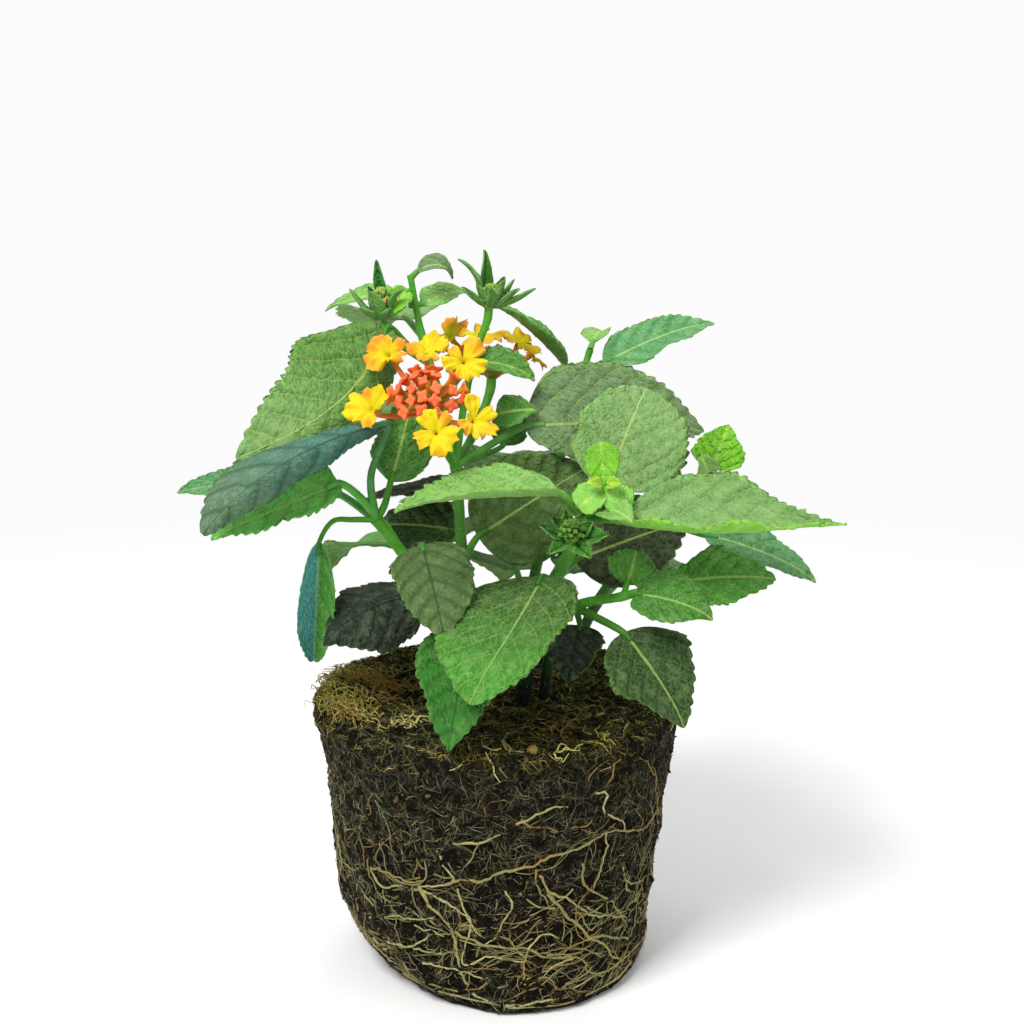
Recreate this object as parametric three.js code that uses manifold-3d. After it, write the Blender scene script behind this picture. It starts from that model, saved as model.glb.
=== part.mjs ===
// A young lantana lifted out of its pot: a tapered root ball of peat with its net of pale roots, leafy
// stems that stand in it, two open flower heads and three heads still in bud.
// Millimetres, +Z up. The origin is the centre of the root ball's flat underside, and the plant's
// front, where the larger flower head leans out, is towards -Y.
import * as THREE from "three";
import { mergeVertices } from "three/addons/utils/BufferGeometryUtils.js";
import Module from "manifold-3d";

const wasm = await Module();
wasm.setup();

// ---- Driving dimensions ----
const BALL_HEIGHT = 76;
const BALL_TOP_RADIUS = 51;
const BALL_BASE_RADIUS = 42.5;
const BALL_TOP_ROUNDING = 4;
const BALL_BASE_ROUNDING = 3;
const BALL_RELIEF = 0.7; // how far lumps of peat stand out of the side, and hollows lie in it
const SOIL_RELIEF = 1.1; // the same on the top
const SOIL_WAVES = 2.2; // how much closer the top's lumps lie than the side's
const BALL_SIDES = 30;
const BALL_RINGS = 7;

const STEM_FOOT_Z = 60; // the stems' lower ends, inside the root ball
const SOIL_Z = 79; // a stem is upright up to here, and leans only above
const HOLE_CLEARANCE = 0.4;
const HOLE_SIDES = 6;

const ROOT_RADIUS = 0.8;
const ROOT_CLEARANCE = 0.5; // from the side's relief to a root
const BASE_ROOT_Z = 4; // the height of the root that circles the base
const BASE_ROOT_POINTS = 18;
const ROOT_POINTS = 8;

const BLADE_THICKNESS = 0.7;
const BLADE_END_HALF_WIDTH = 0.6;
const WIDEST = 0.55; // sets where a blade is widest: at WIDEST / (1 + WIDEST) of its length
const TOOTH_DEPTH = 0.09; // of the half width
const TOOTH_PITCH = 10;
const PETIOLE_RADIUS = 1;

const FLORET_RADIUS = 6.2;
const FLORET_LOBES = 4;
const FLORET_TUBE_RADIUS = 0.9;
const FLORET_THROAT_RADIUS = 1.4;
const FLORET_DEPTH = 1.4; // from a floret's throat up to its lobes
const FLORET_RUFFLE = 0.9;
const COLLAR_RADIUS = 4; // the ring round a head's stalk that its florets grow from
const COLLAR_BORE = 1.6;
const COLLAR_Z = [-2.2, -0.2];
const BUD_WIDTH = 3;
const SMALL_BUD_WIDTH = 1.8;
const BUD_TUBE_RADIUS = 0.55;
const STRAIGHT_END = 3; // the last stretch of a head's stalk, which lies on the head's axis
const HEAD_CLEARANCE = 0.35; // from the end of a stalk to the core of the head above it
const CORE_FOOT = 0.85; // how far a core, an icosahedron, reaches below its middle, for a radius of 1
const GOLDEN_ANGLE = THREE.MathUtils.degToRad(137.5);

const COLOURS = {
  peat: 0x2b221a,
  root: 0xb9a878,
  leaf: 0x4f7f3c,
  budGreen: 0x7cb342,
  yellow: 0xf6c915,
  orange: 0xf0962a,
  coral: 0xe9573f,
};

// ---- The leafy stems ----
// A leaf leaves its stem at from, its blade goes from base to tip, its upper side faces face, arch is the
// rise of its midrib, and fold is how far its left and right halves are turned up, seen from its base.
// Some petioles take a bend through via or are slimmer than the rest.
const leaf = (from, base, tip, width, face, arch, fold, extra = {}) => ({
  from,
  base,
  tip,
  width,
  face,
  arch,
  fold,
  petiole: PETIOLE_RADIUS,
  via: null,
  ...extra,
});
const slim = { petiole: 0.8 };

// A stem stands upright at foot, goes through its points and tapers from its first radius to its second.
// Each of its branches carries a head.
const STEMS = {
  stem_main: {
    foot: [0, 0],
    through: [[-4, 0, 92], [-9, 0, 114], [-11, 2, 140], [-15, 5, 158], [-20, 8, 175], [-23, 10, 191]],
    radius: [2, 0.8],
    branches: [
      { head: "front_head", through: [[-11, 2, 140], [-14, -7, 148]], radius: 1.2 },
      { head: "rear_head", through: [[-11, 2, 140], [-6, 15, 147]], radius: 1.2 },
      { head: "bud_head_left", through: [[-20, 8, 173], [-27, 6, 175]], radius: 0.95 },
      { head: "bud_head_top", through: [[-11, 2, 140], [-8, 3, 160], [-5, 4, 172]], radius: 1 },
    ],
    leaves: [
      leaf([-20, 8, 175], [-32, 2, 175], [-66, -28, 149], 34, [1, -7, 6], 4, [-95, 5]),
      leaf([-11, 2, 140], [8, 2, 151], [56, 8, 149], 34, [0, -9, 5], 4, [0, 0]),
      leaf([-11, 2, 140], [-20, 16, 150], [-48, 44, 142], 32, [-2, 2, 9], 5, [8, 8]),
      leaf([-20, 8, 175], [-24, 17, 178], [-38, 54, 168], 30, [-1, 1, 9], 5, [10, 10]),
      leaf([-9, 0, 114], [-11, 6, 121], [-34, 12, 121], 18, [0, -7, 6], 2, [5, 5]),
      leaf([-9, 0, 114], [-5, -1, 121], [26, 0, 141], 30, [3, -8, 5], 2, [6, 6]),
      leaf([-11, 2, 140], [-4, 12, 131], [-38, 16, 128], 16, [0, -1, 6], 2, [0, 0]),
      leaf([-15, 5, 158], [-5, 5, 166], [16, 1, 160], 14, [0, -5, 8], 2, [15, 15]),
      leaf([-15, 5, 158], [0, 3, 154], [11, 0, 156], 10, [0, -8, 5], 1, [5, 5], slim),
      leaf([-11, 2, 140], [2, 6, 145], [5, 10, 158], 11, [2, -9, 0], 1, [10, 10], slim),
      leaf([-23, 9, 187], [-33, 15, 188], [-46, 14, 184], 8, [0, -3, 8], 1, [15, 15], slim),
      leaf([-23, 10, 190], [-21, 10, 192], [-11, 12, 190], 9, [0, -4, 8], 3, [15, 15], slim),
      leaf([-23, 9, 183], [-20, 12, 183], [-8, 20, 186], 10, [0, -5, 8], 1, [10, 10], slim),
    ],
  },
  shoot_left: {
    foot: [-7, -4],
    through: [[-13, -5, 92], [-24, -7, 116], [-32, -10, 128]],
    radius: [1.9, 1.4],
    branches: [],
    leaves: [
      leaf([-13, -5, 92], [-40, -14, 138], [-73, -30, 127], 26, [0, -6, 8], 2, [8, 8], {
        via: [-30, -8, 126],
        petiole: 1.3,
      }),
      leaf([-32, -10, 128], [-30, -13, 148], [-74, -43, 133], 28, [0, -2, 9], 4, [-50, -15], {
        via: [-36, -11, 137],
      }),
      leaf([-32, -10, 128], [-53, 0, 139], [-84, -8, 136], 18, [0, -5, 9], 2, [5, 5], {
        via: [-42, -2, 133],
      }),
      leaf([-32, -10, 128], [-43, -12, 126], [-49, -9, 88], 16, [-8, -5, 0], 2, [64, 64], {
        via: [-39, -12, 132],
      }),
      leaf([-32, -10, 128], [-28, -8, 138], [-22, -2, 163], 18, [3, -9, 1], 2, [-50, 0], {
        via: [-30, -8, 131],
      }),
    ],
  },
  shoot_low_left: {
    foot: [-2, -8],
    through: [[-6, -11, 90], [-12, -13, 104], [-16, -13, 114]],
    radius: [1.7, 1.2],
    branches: [],
    leaves: [
      leaf([-16, -13, 114], [-21, -16, 123], [-15, -40, 105], 24, [0, -7, 6], 2, [4, 4]),
      leaf([-12, -13, 104], [-20, -12, 108], [-46, -26, 99], 26, [0, -3, 9], 3, [-50, -5]),
      leaf([-6, -11, 90], [-6, -24, 103], [-12, -54, 80], 24, [0, -6, 8], 3, [5, 5]),
    ],
  },
  shoot_right: {
    foot: [6, -6],
    through: [[9, -11, 92], [15, -20, 113], [20, -25, 125], [22, -27, 132], [26, -28, 139], [27, -28, 145]],
    radius: [1.9, 0.9],
    branches: [{ head: "bud_head_right", through: [[20, -25, 125], [20, -29, 125]], radius: 0.95 }],
    leaves: [
      leaf([15, -20, 113], [12, -24, 116], [-6, -58, 94], 33, [-3, -4, 9], 3, [4, 4]),
      leaf([15, -20, 113], [21, -15, 118], [53, -2, 126], 26, [2, -8, 5], 2, [6, 6]),
      leaf([22, -27, 132], [16, -32, 140], [-23, -46, 140], 25, [0, -3, 9], 3, [6, 6]),
      leaf([22, -27, 132], [30, -32, 133], [85, -46, 135], 30, [0, -3, 9], 4, [17, 25]),
      leaf([22, -27, 132], [29, -12, 137], [42, 3, 166], 29, [-1, -9, 4], 3, [6, 6]),
      leaf([26, -28, 139], [27, -29, 143], [27, -31, 153], 8, [0, -8, -2], -1, [25, 25], slim),
      leaf([26, -28, 139], [29, -27, 143], [33, -26, 149], 7, [-5, -6, 0], -1, [25, 25], slim),
      leaf([26, -28, 139], [23, -28, 143], [20, -28, 148], 7, [5, -6, 0], -1, [25, 25], slim),
      leaf([22, -27, 132], [27, -31, 136], [34, -38, 134], 10, [0, -5, 8], 1, [10, 10], slim),
    ],
  },
  shoot_side: {
    foot: [12, -3],
    through: [[15, -10, 92], [21, -18, 106], [33, -25, 111], [45, -25, 115], [49, -24, 119]],
    radius: [1.7, 0.8],
    branches: [],
    leaves: [
      leaf([33, -25, 111], [36, -27, 112], [55, -38, 109], 18, [0, -6, 8], 2, [10, 10], slim),
      leaf([33, -25, 111], [34, -24, 114], [37, -18, 122], 14, [0, -9, 2], 1, [10, 10], slim),
      leaf([45, -25, 115], [48, -25, 115], [73, -26, 116], 16, [0, -8, 6], 2, [6, 6], slim),
      leaf([21, -18, 106], [33, -28, 102], [48, -44, 82], 24, [2, -7, 6], 2, [4, 4]),
      leaf([21, -18, 106], [22, -22, 102], [18, -38, 92], 15, [0, -4, 9], 1, [5, 5], slim),
    ],
  },
  shoot_far_right: {
    foot: [13, 5],
    through: [[28, 5, 100], [46, 5, 124], [56, -8, 139], [57, -10, 143]],
    radius: [1.7, 0.8],
    branches: [],
    leaves: [
      leaf([56, -8, 139], [57, -11, 142], [61, -12, 154], 14, [0, -9, 3], 1, [10, 10], slim),
      leaf([56, -8, 139], [56, -12, 140], [53, -17, 147], 8, [0, -8, 3], 1, [10, 10], slim),
      leaf([46, 5, 124], [57, -4, 122], [86, -14, 112], 15, [2, -5, 8], 2, [5, 5]),
      leaf([28, 5, 100], [38, 10, 108], [68, 28, 98], 28, [1, 1, 9], 4, [8, 8]),
    ],
  },
  shoot_back: {
    foot: [4, 9],
    through: [[9, 15, 95], [16, 23, 126], [22, 28, 152], [27, 31, 168]],
    radius: [1.9, 0.9],
    branches: [],
    leaves: [
      leaf([22, 28, 154], [20, 29, 164], [0, 26, 182], 14, [-3, -2, 9], 1, [40, 10], slim),
      leaf([22, 28, 154], [31, 31, 164], [63, 34, 176], 16, [0, -5, 8], 2, [10, 10], slim),
      leaf([27, 31, 168], [28, 34, 170], [32, 44, 172], 9, [0, 1, 9], 1, [15, 15], slim),
      leaf([16, 23, 126], [24, 28, 134], [56, 42, 130], 30, [0, 2, 9], 5, [8, 8]),
      leaf([16, 23, 126], [12, 32, 134], [-8, 64, 124], 30, [0, 2, 9], 5, [8, 8]),
      leaf([9, 15, 95], [20, 24, 104], [48, 46, 90], 32, [2, 2, 9], 5, [8, 8]),
      leaf([9, 15, 95], [6, 26, 104], [2, 60, 92], 30, [0, 2, 9], 5, [8, 8]),
    ],
  },
  shoot_rear_left: {
    foot: [-6, 7],
    through: [[-11, 14, 92], [-16, 20, 106], [-19, 24, 115]],
    radius: [1.7, 0.9],
    branches: [],
    leaves: [
      leaf([-16, 20, 106], [-24, 24, 111], [-52, 45, 100], 30, [-1, 1, 9], 5, [8, 8]),
      leaf([-16, 20, 106], [-15, 30, 111], [-20, 64, 102], 30, [-1, 2, 9], 5, [8, 8]),
      leaf([-11, 14, 92], [-19, 17, 98], [-46, 32, 88], 26, [-1, 1, 9], 4, [8, 8]),
      leaf([-19, 24, 115], [-21, 26, 118], [-28, 32, 124], 10, [-5, 5, 5], 1, [15, 15], slim),
      leaf([-19, 24, 115], [-17, 26, 118], [-11, 31, 123], 9, [5, 5, 5], 1, [15, 15], slim),
    ],
  },
};

// ---- Flower heads ----
// A head's stalk ends at position, where it points along axis. Its open florets stand in a ring
// at their azimuths, and tilt is how far they face outwards. Each lobe of theirs has lobePoints points
// round it. The head's buds make a dome that opens to spread.
const FLOWER_HEADS = {
  front_head: {
    position: [-17, -16.5, 157],
    axis: [0, -0.56, 0.83],
    colour: "yellow",
    florets: { azimuths: [200, 125, 91, 52, 325, 279], ring: 16, height: 8, tilt: 32, lobePoints: 3 },
    buds: { count: 20, spread: 54, length: 12, core: 3.9 },
  },
  rear_head: {
    position: [-1.2, 25.3, 160.6],
    axis: [0.1, 0.35, 0.93],
    colour: "orange",
    florets: { azimuths: [10, 62, 115, 168, 220, 262, 314], ring: 14, height: 8, tilt: 50, lobePoints: 2 },
    buds: { count: 7, spread: 32, length: 10.5, core: 3 },
  },
};

const BUD_HEADS = {
  bud_head_left: { position: [-30.2, 5, 181.6], axis: [-1, 0, 9], bractLength: 10 },
  bud_head_top: { position: [-1.8, 5, 182.7], axis: [1, 0, 9], bractLength: 11 },
  bud_head_right: { position: [18.9, -33.6, 128.5], axis: [0, -6, 8], bractLength: 6 },
};
const HEADS = { ...FLOWER_HEADS, ...BUD_HEADS };
const BRACTS = 7;
const SMALL_BUDS = 5;
const BUD_HEAD_CORE = 2.4;

// ---- Roots on the ball's side ----
// Each leaves the root that circles the base at azimuth and goes turn degrees round the ball on its way
// up to top.
const ROOTS = [
  { azimuth: 262, turn: -34, top: 46 },
  { azimuth: 284, turn: 40, top: 40 },
  { azimuth: 300, turn: -46, top: 30 },
  { azimuth: 318, turn: 30, top: 56 },
  { azimuth: 340, turn: -30, top: 34 },
  { azimuth: 8, turn: 36, top: 44 },
  { azimuth: 40, turn: -40, top: 30 },
  { azimuth: 78, turn: 34, top: 50 },
  { azimuth: 112, turn: -38, top: 34 },
  { azimuth: 150, turn: 36, top: 46 },
  { azimuth: 186, turn: -34, top: 32 },
  { azimuth: 214, turn: 40, top: 48 },
  { azimuth: 240, turn: -30, top: 28 },
];

// ---- Solids ----
const vector = (point) => new THREE.Vector3(...point);
const radians = THREE.MathUtils.degToRad;

// A closed solid from a closed three.js geometry.
function solid(geometry) {
  geometry.deleteAttribute("normal");
  geometry.deleteAttribute("uv");
  const merged = mergeVertices(geometry, 1e-4);
  return new wasm.Manifold(
    new wasm.Mesh({
      numProp: 3,
      vertProperties: new Float32Array(merged.attributes.position.array),
      triVerts: new Uint32Array(merged.index.array),
    }),
  );
}

function union(solids) {
  return solids.reduce((whole, piece) => whole.add(piece));
}

function named(name, body, colour, roughness) {
  const data = body.getMesh();
  const geometry = new THREE.BufferGeometry();
  geometry.setAttribute("position", new THREE.BufferAttribute(new Float32Array(data.vertProperties), 3));
  geometry.setIndex(new THREE.BufferAttribute(new Uint32Array(data.triVerts), 1));
  geometry.computeVertexNormals();
  const mesh = new THREE.Mesh(geometry, new THREE.MeshStandardMaterial({ color: colour, roughness }));
  mesh.name = name;
  return mesh;
}

function indexed(points, faces) {
  const geometry = new THREE.BufferGeometry();
  geometry.setAttribute("position", new THREE.Float32BufferAttribute(points.flatMap((p) => p.toArray()), 3));
  geometry.setIndex(faces);
  return geometry;
}

// The fans that close a skin's two ends.
function endFans(sides, last) {
  const faces = [];
  for (let k = 1; k + 1 < sides; k += 1) {
    faces.push(0, k + 1, k);
    faces.push(last, last + k, last + k + 1);
  }
  return faces;
}

// Rings of equal length joined into a closed skin.
function skin(rings) {
  const sides = rings[0].length;
  const faces = [];
  for (let i = 0; i + 1 < rings.length; i += 1) {
    for (let k = 0; k < sides; k += 1) {
      const a = i * sides + k;
      const b = i * sides + ((k + 1) % sides);
      faces.push(a, b, a + sides, b, b + sides, a + sides);
    }
  }
  return indexed(rings.flat(), [...faces, ...endFans(sides, (rings.length - 1) * sides)]);
}

// A stalk through the points, its radius going evenly from the first to the last.
function stalk(points, radiusStart, radiusEnd, sides, steps) {
  const curve = new THREE.CatmullRomCurve3(points.map(vector), false, "centripetal");
  const frames = curve.computeFrenetFrames(steps, false);
  const rings = Array.from({ length: steps + 1 }, (_, i) => {
    const centre = curve.getPointAt(i / steps);
    const radius = THREE.MathUtils.lerp(radiusStart, radiusEnd, i / steps);
    return Array.from({ length: sides }, (__, k) => {
      const angle = (2 * Math.PI * (k + 0.5)) / sides;
      return centre
        .clone()
        .addScaledVector(frames.normals[i], radius * Math.cos(angle))
        .addScaledVector(frames.binormals[i], radius * Math.sin(angle));
    });
  });
  return solid(skin(rings));
}

// ---- Leaves ----
// A leaf is one skin over sections of six points each: the ridge of the upper side, the upper and the
// lower right margin, the ridge of the under side, and the lower and the upper left margin.
const SECTION_POINTS = 6;

// The half width of an ovate blade along its length, as a share of the widest.
function ovate(s) {
  const peak = WIDEST / (1 + WIDEST);
  return (s ** WIDEST * (1 - s)) / (peak ** WIDEST * (1 - peak));
}

// The upper side's direction at a place on a leaf, square to the way along it.
function across(along, up) {
  const right = along.clone().cross(up).normalize();
  return { right, normal: right.clone().cross(along).normalize() };
}

function midrib({ base, tip, face, arch }) {
  const start = vector(base);
  const end = vector(tip);
  const chord = end.clone().sub(start).normalize();
  const up = vector(face);
  up.addScaledVector(chord, -up.dot(chord)).normalize();
  const crest = start.clone().lerp(end, 0.5).addScaledVector(up, 2 * arch);
  return { curve: new THREE.QuadraticBezierCurve3(start, crest, end), up };
}

// The petiole's sections, from inside the stem to just before the blade, which it runs smoothly into.
function petioleSections({ from, via, base, petiole }, { curve, up }) {
  const route = [from, ...(via ? [via] : []), base].map(vector);
  const whole = new THREE.CatmullRomCurve3([...route, curve.getPoint(0.1)], false, "centripetal");
  const steps = 2 * (route.length - 1);
  return Array.from({ length: steps }, (_, i) => {
    const t = i / steps;
    const onWhole = (t * (route.length - 1)) / route.length;
    const centre = whole.getPoint(onWhole);
    const { right, normal } = across(whole.getTangent(onWhole), up);
    const radius = THREE.MathUtils.lerp(petiole, BLADE_END_HALF_WIDTH, t);
    return Array.from({ length: SECTION_POINTS }, (__, k) => {
      const angle = (2 * Math.PI * k) / SECTION_POINTS;
      return centre
        .clone()
        .addScaledVector(normal, radius * Math.cos(angle))
        .addScaledVector(right, radius * Math.sin(angle));
    });
  });
}

// The blade's sections: each half is folded up by its own angle, and every other one is a tooth's point.
function bladeSections({ width, fold }, { curve, up }) {
  const teeth = Math.max(2, Math.round(curve.getLength() / TOOTH_PITCH));
  const stations = 2 * teeth + 1;
  const halfThick = BLADE_THICKNESS / 2;
  const [leftFold, rightFold] = fold.map(radians);
  const ridge = halfThick / Math.max(0.5, Math.cos((leftFold + rightFold) / 2));
  return Array.from({ length: stations + 1 }, (_, i) => {
    const s = i / stations;
    const centre = curve.getPoint(s);
    const { right, normal } = across(curve.getTangent(s), up);
    const tooth = i % 2 === 1 ? 1 + TOOTH_DEPTH : 1 - TOOTH_DEPTH;
    const half = Math.max(BLADE_END_HALF_WIDTH, (width / 2) * ovate(s) * tooth);
    const margin = (sign, turn, side) =>
      centre
        .clone()
        .addScaledVector(right, sign * (half * Math.cos(turn) - side * halfThick * Math.sin(turn)))
        .addScaledVector(normal, half * Math.sin(turn) + side * halfThick * Math.cos(turn));
    return [
      centre.clone().addScaledVector(normal, ridge),
      margin(1, rightFold, 1),
      margin(1, rightFold, -1),
      centre.clone().addScaledVector(normal, -ridge),
      margin(-1, leftFold, -1),
      margin(-1, leftFold, 1),
    ];
  });
}

// The sections joined so that both faces are split into triangles alike: every diagonal on them runs
// from a ridge to the next section's margin.
function leafSolid(shape) {
  const rib = midrib(shape);
  const rings = [...petioleSections(shape, rib), ...bladeSections(shape, rib)];
  const faces = [];
  const splitAC = (a, b, c, d) => faces.push(a, b, c, a, c, d);
  const splitBD = (a, b, c, d) => faces.push(a, b, d, b, c, d);
  for (let i = 0; i + 1 < rings.length; i += 1) {
    const near = i * SECTION_POINTS;
    const far = near + SECTION_POINTS;
    splitAC(near, near + 1, far + 1, far);
    splitAC(near + 1, near + 2, far + 2, far + 1);
    splitBD(near + 2, near + 3, far + 3, far + 2);
    splitAC(near + 3, near + 4, far + 4, far + 3);
    splitAC(near + 4, near + 5, far + 5, far + 4);
    splitBD(near + 5, near, far, far + 5);
  }
  const ends = endFans(SECTION_POINTS, (rings.length - 1) * SECTION_POINTS);
  return solid(indexed(rings.flat(), [...faces, ...ends]));
}

// A branch meets its head square: its last stretch lies on the head's axis.
function branchSolid({ head, through, radius }) {
  const { position, axis } = HEADS[head];
  const end = vector(position);
  const below = end.clone().addScaledVector(vector(axis).normalize(), -STRAIGHT_END);
  return stalk([...through, below.toArray(), end.toArray()], radius, radius, 5, 6);
}

function leafyStem({ foot, through, radius, branches, leaves }) {
  const [x, y] = foot;
  const route = [[x, y, STEM_FOOT_Z], [x, y, (STEM_FOOT_Z + SOIL_Z) / 2], [x, y, SOIL_Z], ...through];
  const stem = stalk(route, ...radius, 4, 2 * route.length);
  return union([stem, ...branches.map(branchSolid), ...leaves.map(leafSolid)]);
}

// ---- Flower heads, each made round +Z with its stalk's end at the origin ----
const polar = (radius, azimuth, height) =>
  new THREE.Vector3(radius * Math.cos(azimuth), radius * Math.sin(azimuth), height);

const coreMiddle = (radius) => new THREE.Vector3(0, 0, CORE_FOOT * radius + HEAD_CLEARANCE);

// The i-th of count directions that fill a dome evenly.
function domeDirection(i, count, spread) {
  const tilt = radians(spread) * Math.sqrt((i + 0.3) / count);
  return polar(Math.sin(tilt), i * GOLDEN_ANGLE, Math.cos(tilt));
}

// A four-cornered bud on its slim tube: narrow, then a wide shoulder, then a blunt point.
function bud(start, direction, length, width) {
  const side = new THREE.Vector3(-direction.y, direction.x, 0).normalize();
  const other = direction.clone().cross(side);
  const profile = [[0, BUD_TUBE_RADIUS], [0.85, width / 2], [1, width / 5]];
  const rings = profile.map(([t, radius]) =>
    [0, 1, 2, 3].map((corner) =>
      start
        .clone()
        .addScaledVector(direction, t * length)
        .addScaledVector(side, radius * Math.cos((Math.PI / 2) * corner))
        .addScaledVector(other, radius * Math.sin((Math.PI / 2) * corner)),
    ),
  );
  return solid(skin(rings));
}

function domeOfBuds({ count, spread, length, core }) {
  const centre = coreMiddle(core);
  const heart = solid(new THREE.IcosahedronGeometry(core, 0)).translate(centre.toArray());
  const rootDepth = 1.5;
  const buds = Array.from({ length: count }, (_, i) => {
    const direction = domeDirection(i, count, spread);
    const start = centre.clone().addScaledVector(direction, core - rootDepth);
    return bud(start, direction, length - core + rootDepth, BUD_WIDTH);
  });
  return union([heart, ...buds]);
}

// An open floret: a tube that curves outwards and opens into a ruffled limb of four lobes. Its rings all
// have the same count of points, so that the whole floret is one skin.
function floret(azimuth, { ring, height, tilt, lobePoints }) {
  const outward = polar(1, azimuth, 0);
  const sideways = new THREE.Vector3(-outward.y, outward.x, 0);
  const at = (out, up) => outward.clone().multiplyScalar(out).setZ(up);
  const facing = at(Math.sin(radians(tilt)), Math.cos(radians(tilt)));
  const throat = at(ring, height);
  const count = lobePoints * FLORET_LOBES;
  const loop = (centre, axis, radiusAt, liftAt) => {
    const inPlane = sideways.clone().cross(axis).normalize();
    return Array.from({ length: count }, (_, k) => {
      const angle = (2 * Math.PI * k) / count;
      return centre
        .clone()
        .addScaledVector(inPlane, radiusAt(angle) * Math.cos(angle))
        .addScaledVector(sideways, radiusAt(angle) * Math.sin(angle))
        .addScaledVector(axis, liftAt(angle));
    });
  };
  const tube = () => FLORET_TUBE_RADIUS;
  const mouth = () => FLORET_THROAT_RADIUS;
  const lobe = (angle) => FLORET_RADIUS * (0.8 + 0.2 * Math.cos(FLORET_LOBES * angle));
  const level = (lift) => () => lift;
  const ruffled = (lift) => (angle) => lift + FLORET_RUFFLE * Math.cos(FLORET_LOBES * angle + 0.8);
  return solid(
    skin([
      loop(at(0.65 * COLLAR_RADIUS, -1.2), at(0.97, 0.24), tube, level(0)),
      loop(at(0.66 * ring, 1.4), at(0.8, 0.6), tube, level(0)),
      loop(throat, facing, mouth, level(-BLADE_THICKNESS)),
      loop(throat, facing, lobe, ruffled(FLORET_DEPTH - BLADE_THICKNESS)),
      loop(throat, facing, lobe, ruffled(FLORET_DEPTH)),
      loop(throat, facing, mouth, level(0.2)),
    ]),
  );
}

// The open florets of a head, all rooted in one collar round the top of the head's stalk.
function ringOfFlorets(florets) {
  const [low, high] = COLLAR_Z;
  const section = [[COLLAR_BORE, low], [COLLAR_RADIUS, low], [COLLAR_RADIUS, high], [COLLAR_BORE, high]];
  const outline = [...section, section[0]].map(([r, z]) => new THREE.Vector2(r, z));
  const collar = solid(new THREE.LatheGeometry(outline, 8).rotateX(Math.PI / 2));
  return union([collar, ...florets.azimuths.map((azimuth) => floret(radians(azimuth), florets))]);
}

// A head in bud: narrow bracts, every other one more upright, round a tight dome of small buds.
function budHead(bractLength) {
  const centre = coreMiddle(BUD_HEAD_CORE);
  const heart = solid(new THREE.IcosahedronGeometry(BUD_HEAD_CORE, 0)).translate(centre.toArray());
  const bracts = Array.from({ length: BRACTS }, (_, i) => {
    const azimuth = (2 * Math.PI * i) / BRACTS;
    const lean = i % 2 === 0 ? 1 : 0.55;
    const route = [
      polar(1.6, azimuth, 2.2),
      polar(3.2 * lean + 1, azimuth, 3.6),
      polar(0.75 * bractLength * lean, azimuth, bractLength),
    ];
    return stalk(route.map((point) => point.toArray()), 0.7, 0.35, 3, 2);
  });
  const buds = Array.from({ length: SMALL_BUDS }, (_, i) => {
    const direction = domeDirection(i, SMALL_BUDS, 48);
    return bud(centre.clone().addScaledVector(direction, 1.4), direction, 4.2, SMALL_BUD_WIDTH);
  });
  return union([heart, ...bracts, ...buds]);
}

function placed(mesh, { position, axis }) {
  mesh.position.set(...position);
  mesh.quaternion.setFromUnitVectors(new THREE.Vector3(0, 0, 1), vector(axis).normalize());
  return mesh;
}

// ---- The root ball ----
const plainRadius = (z) => THREE.MathUtils.lerp(BALL_BASE_RADIUS, BALL_TOP_RADIUS, z / BALL_HEIGHT);

// Lumps and hollows: a sum of a few waves of different pitch round and down the ball, from -1 to 1.
function lumps(azimuth, z) {
  return (
    (Math.sin(5 * azimuth + 0.11 * z) +
      Math.sin(9 * azimuth - 0.17 * z + 2) +
      Math.sin(14 * azimuth + 0.23 * z + 4) +
      Math.sin(0.31 * z + 1)) /
    4
  );
}

function rootBall() {
  const profile = [[0, 0]];
  profile.push([BALL_BASE_RADIUS - BALL_BASE_ROUNDING, 0], [BALL_BASE_RADIUS - 0.5, BALL_BASE_ROUNDING]);
  const low = BALL_BASE_ROUNDING + 4;
  const high = BALL_HEIGHT - BALL_TOP_ROUNDING;
  for (let i = 0; i <= BALL_RINGS; i += 1) {
    const z = THREE.MathUtils.lerp(low, high, i / BALL_RINGS);
    profile.push([plainRadius(z), z]);
  }
  profile.push([BALL_TOP_RADIUS - 1.5, BALL_HEIGHT - 1], [BALL_TOP_RADIUS - BALL_TOP_ROUNDING, BALL_HEIGHT]);
  profile.push([36, BALL_HEIGHT], [23, BALL_HEIGHT], [0, BALL_HEIGHT]);
  const geometry = new THREE.LatheGeometry(profile.map(([r, z]) => new THREE.Vector2(r, z)), BALL_SIDES);
  geometry.rotateX(Math.PI / 2);
  const position = geometry.attributes.position;
  for (let i = 0; i < position.count; i += 1) {
    const [x, y, z] = [position.getX(i), position.getY(i), position.getZ(i)];
    const radius = Math.hypot(x, y);
    const azimuth = Math.atan2(y, x);
    if (z >= BALL_HEIGHT - 0.01 && radius > 1) {
      position.setZ(i, z + SOIL_RELIEF * lumps(azimuth, SOIL_WAVES * radius));
    } else if (z > BALL_BASE_ROUNDING + 1) {
      const grown = (radius + BALL_RELIEF * lumps(azimuth, z)) / radius;
      position.setXY(i, x * grown, y * grown);
    }
  }
  const holes = Object.values(STEMS).map(({ foot, radius }) => stemHole(foot, radius[0]));
  return holes.reduce((ball, hole) => ball.subtract(hole), solid(geometry));
}

// A plain hole that a stem stands in, its flats clear of the stem all round.
function stemHole([x, y], stemRadius) {
  const depth = SOIL_Z + 5 - STEM_FOOT_Z;
  const radius = (stemRadius + HOLE_CLEARANCE) / Math.cos(Math.PI / HOLE_SIDES);
  const bore = new THREE.CylinderGeometry(radius, radius, depth, HOLE_SIDES).rotateX(Math.PI / 2);
  return solid(bore.translate(x, y, STEM_FOOT_Z - HOLE_CLEARANCE + depth / 2));
}

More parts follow.
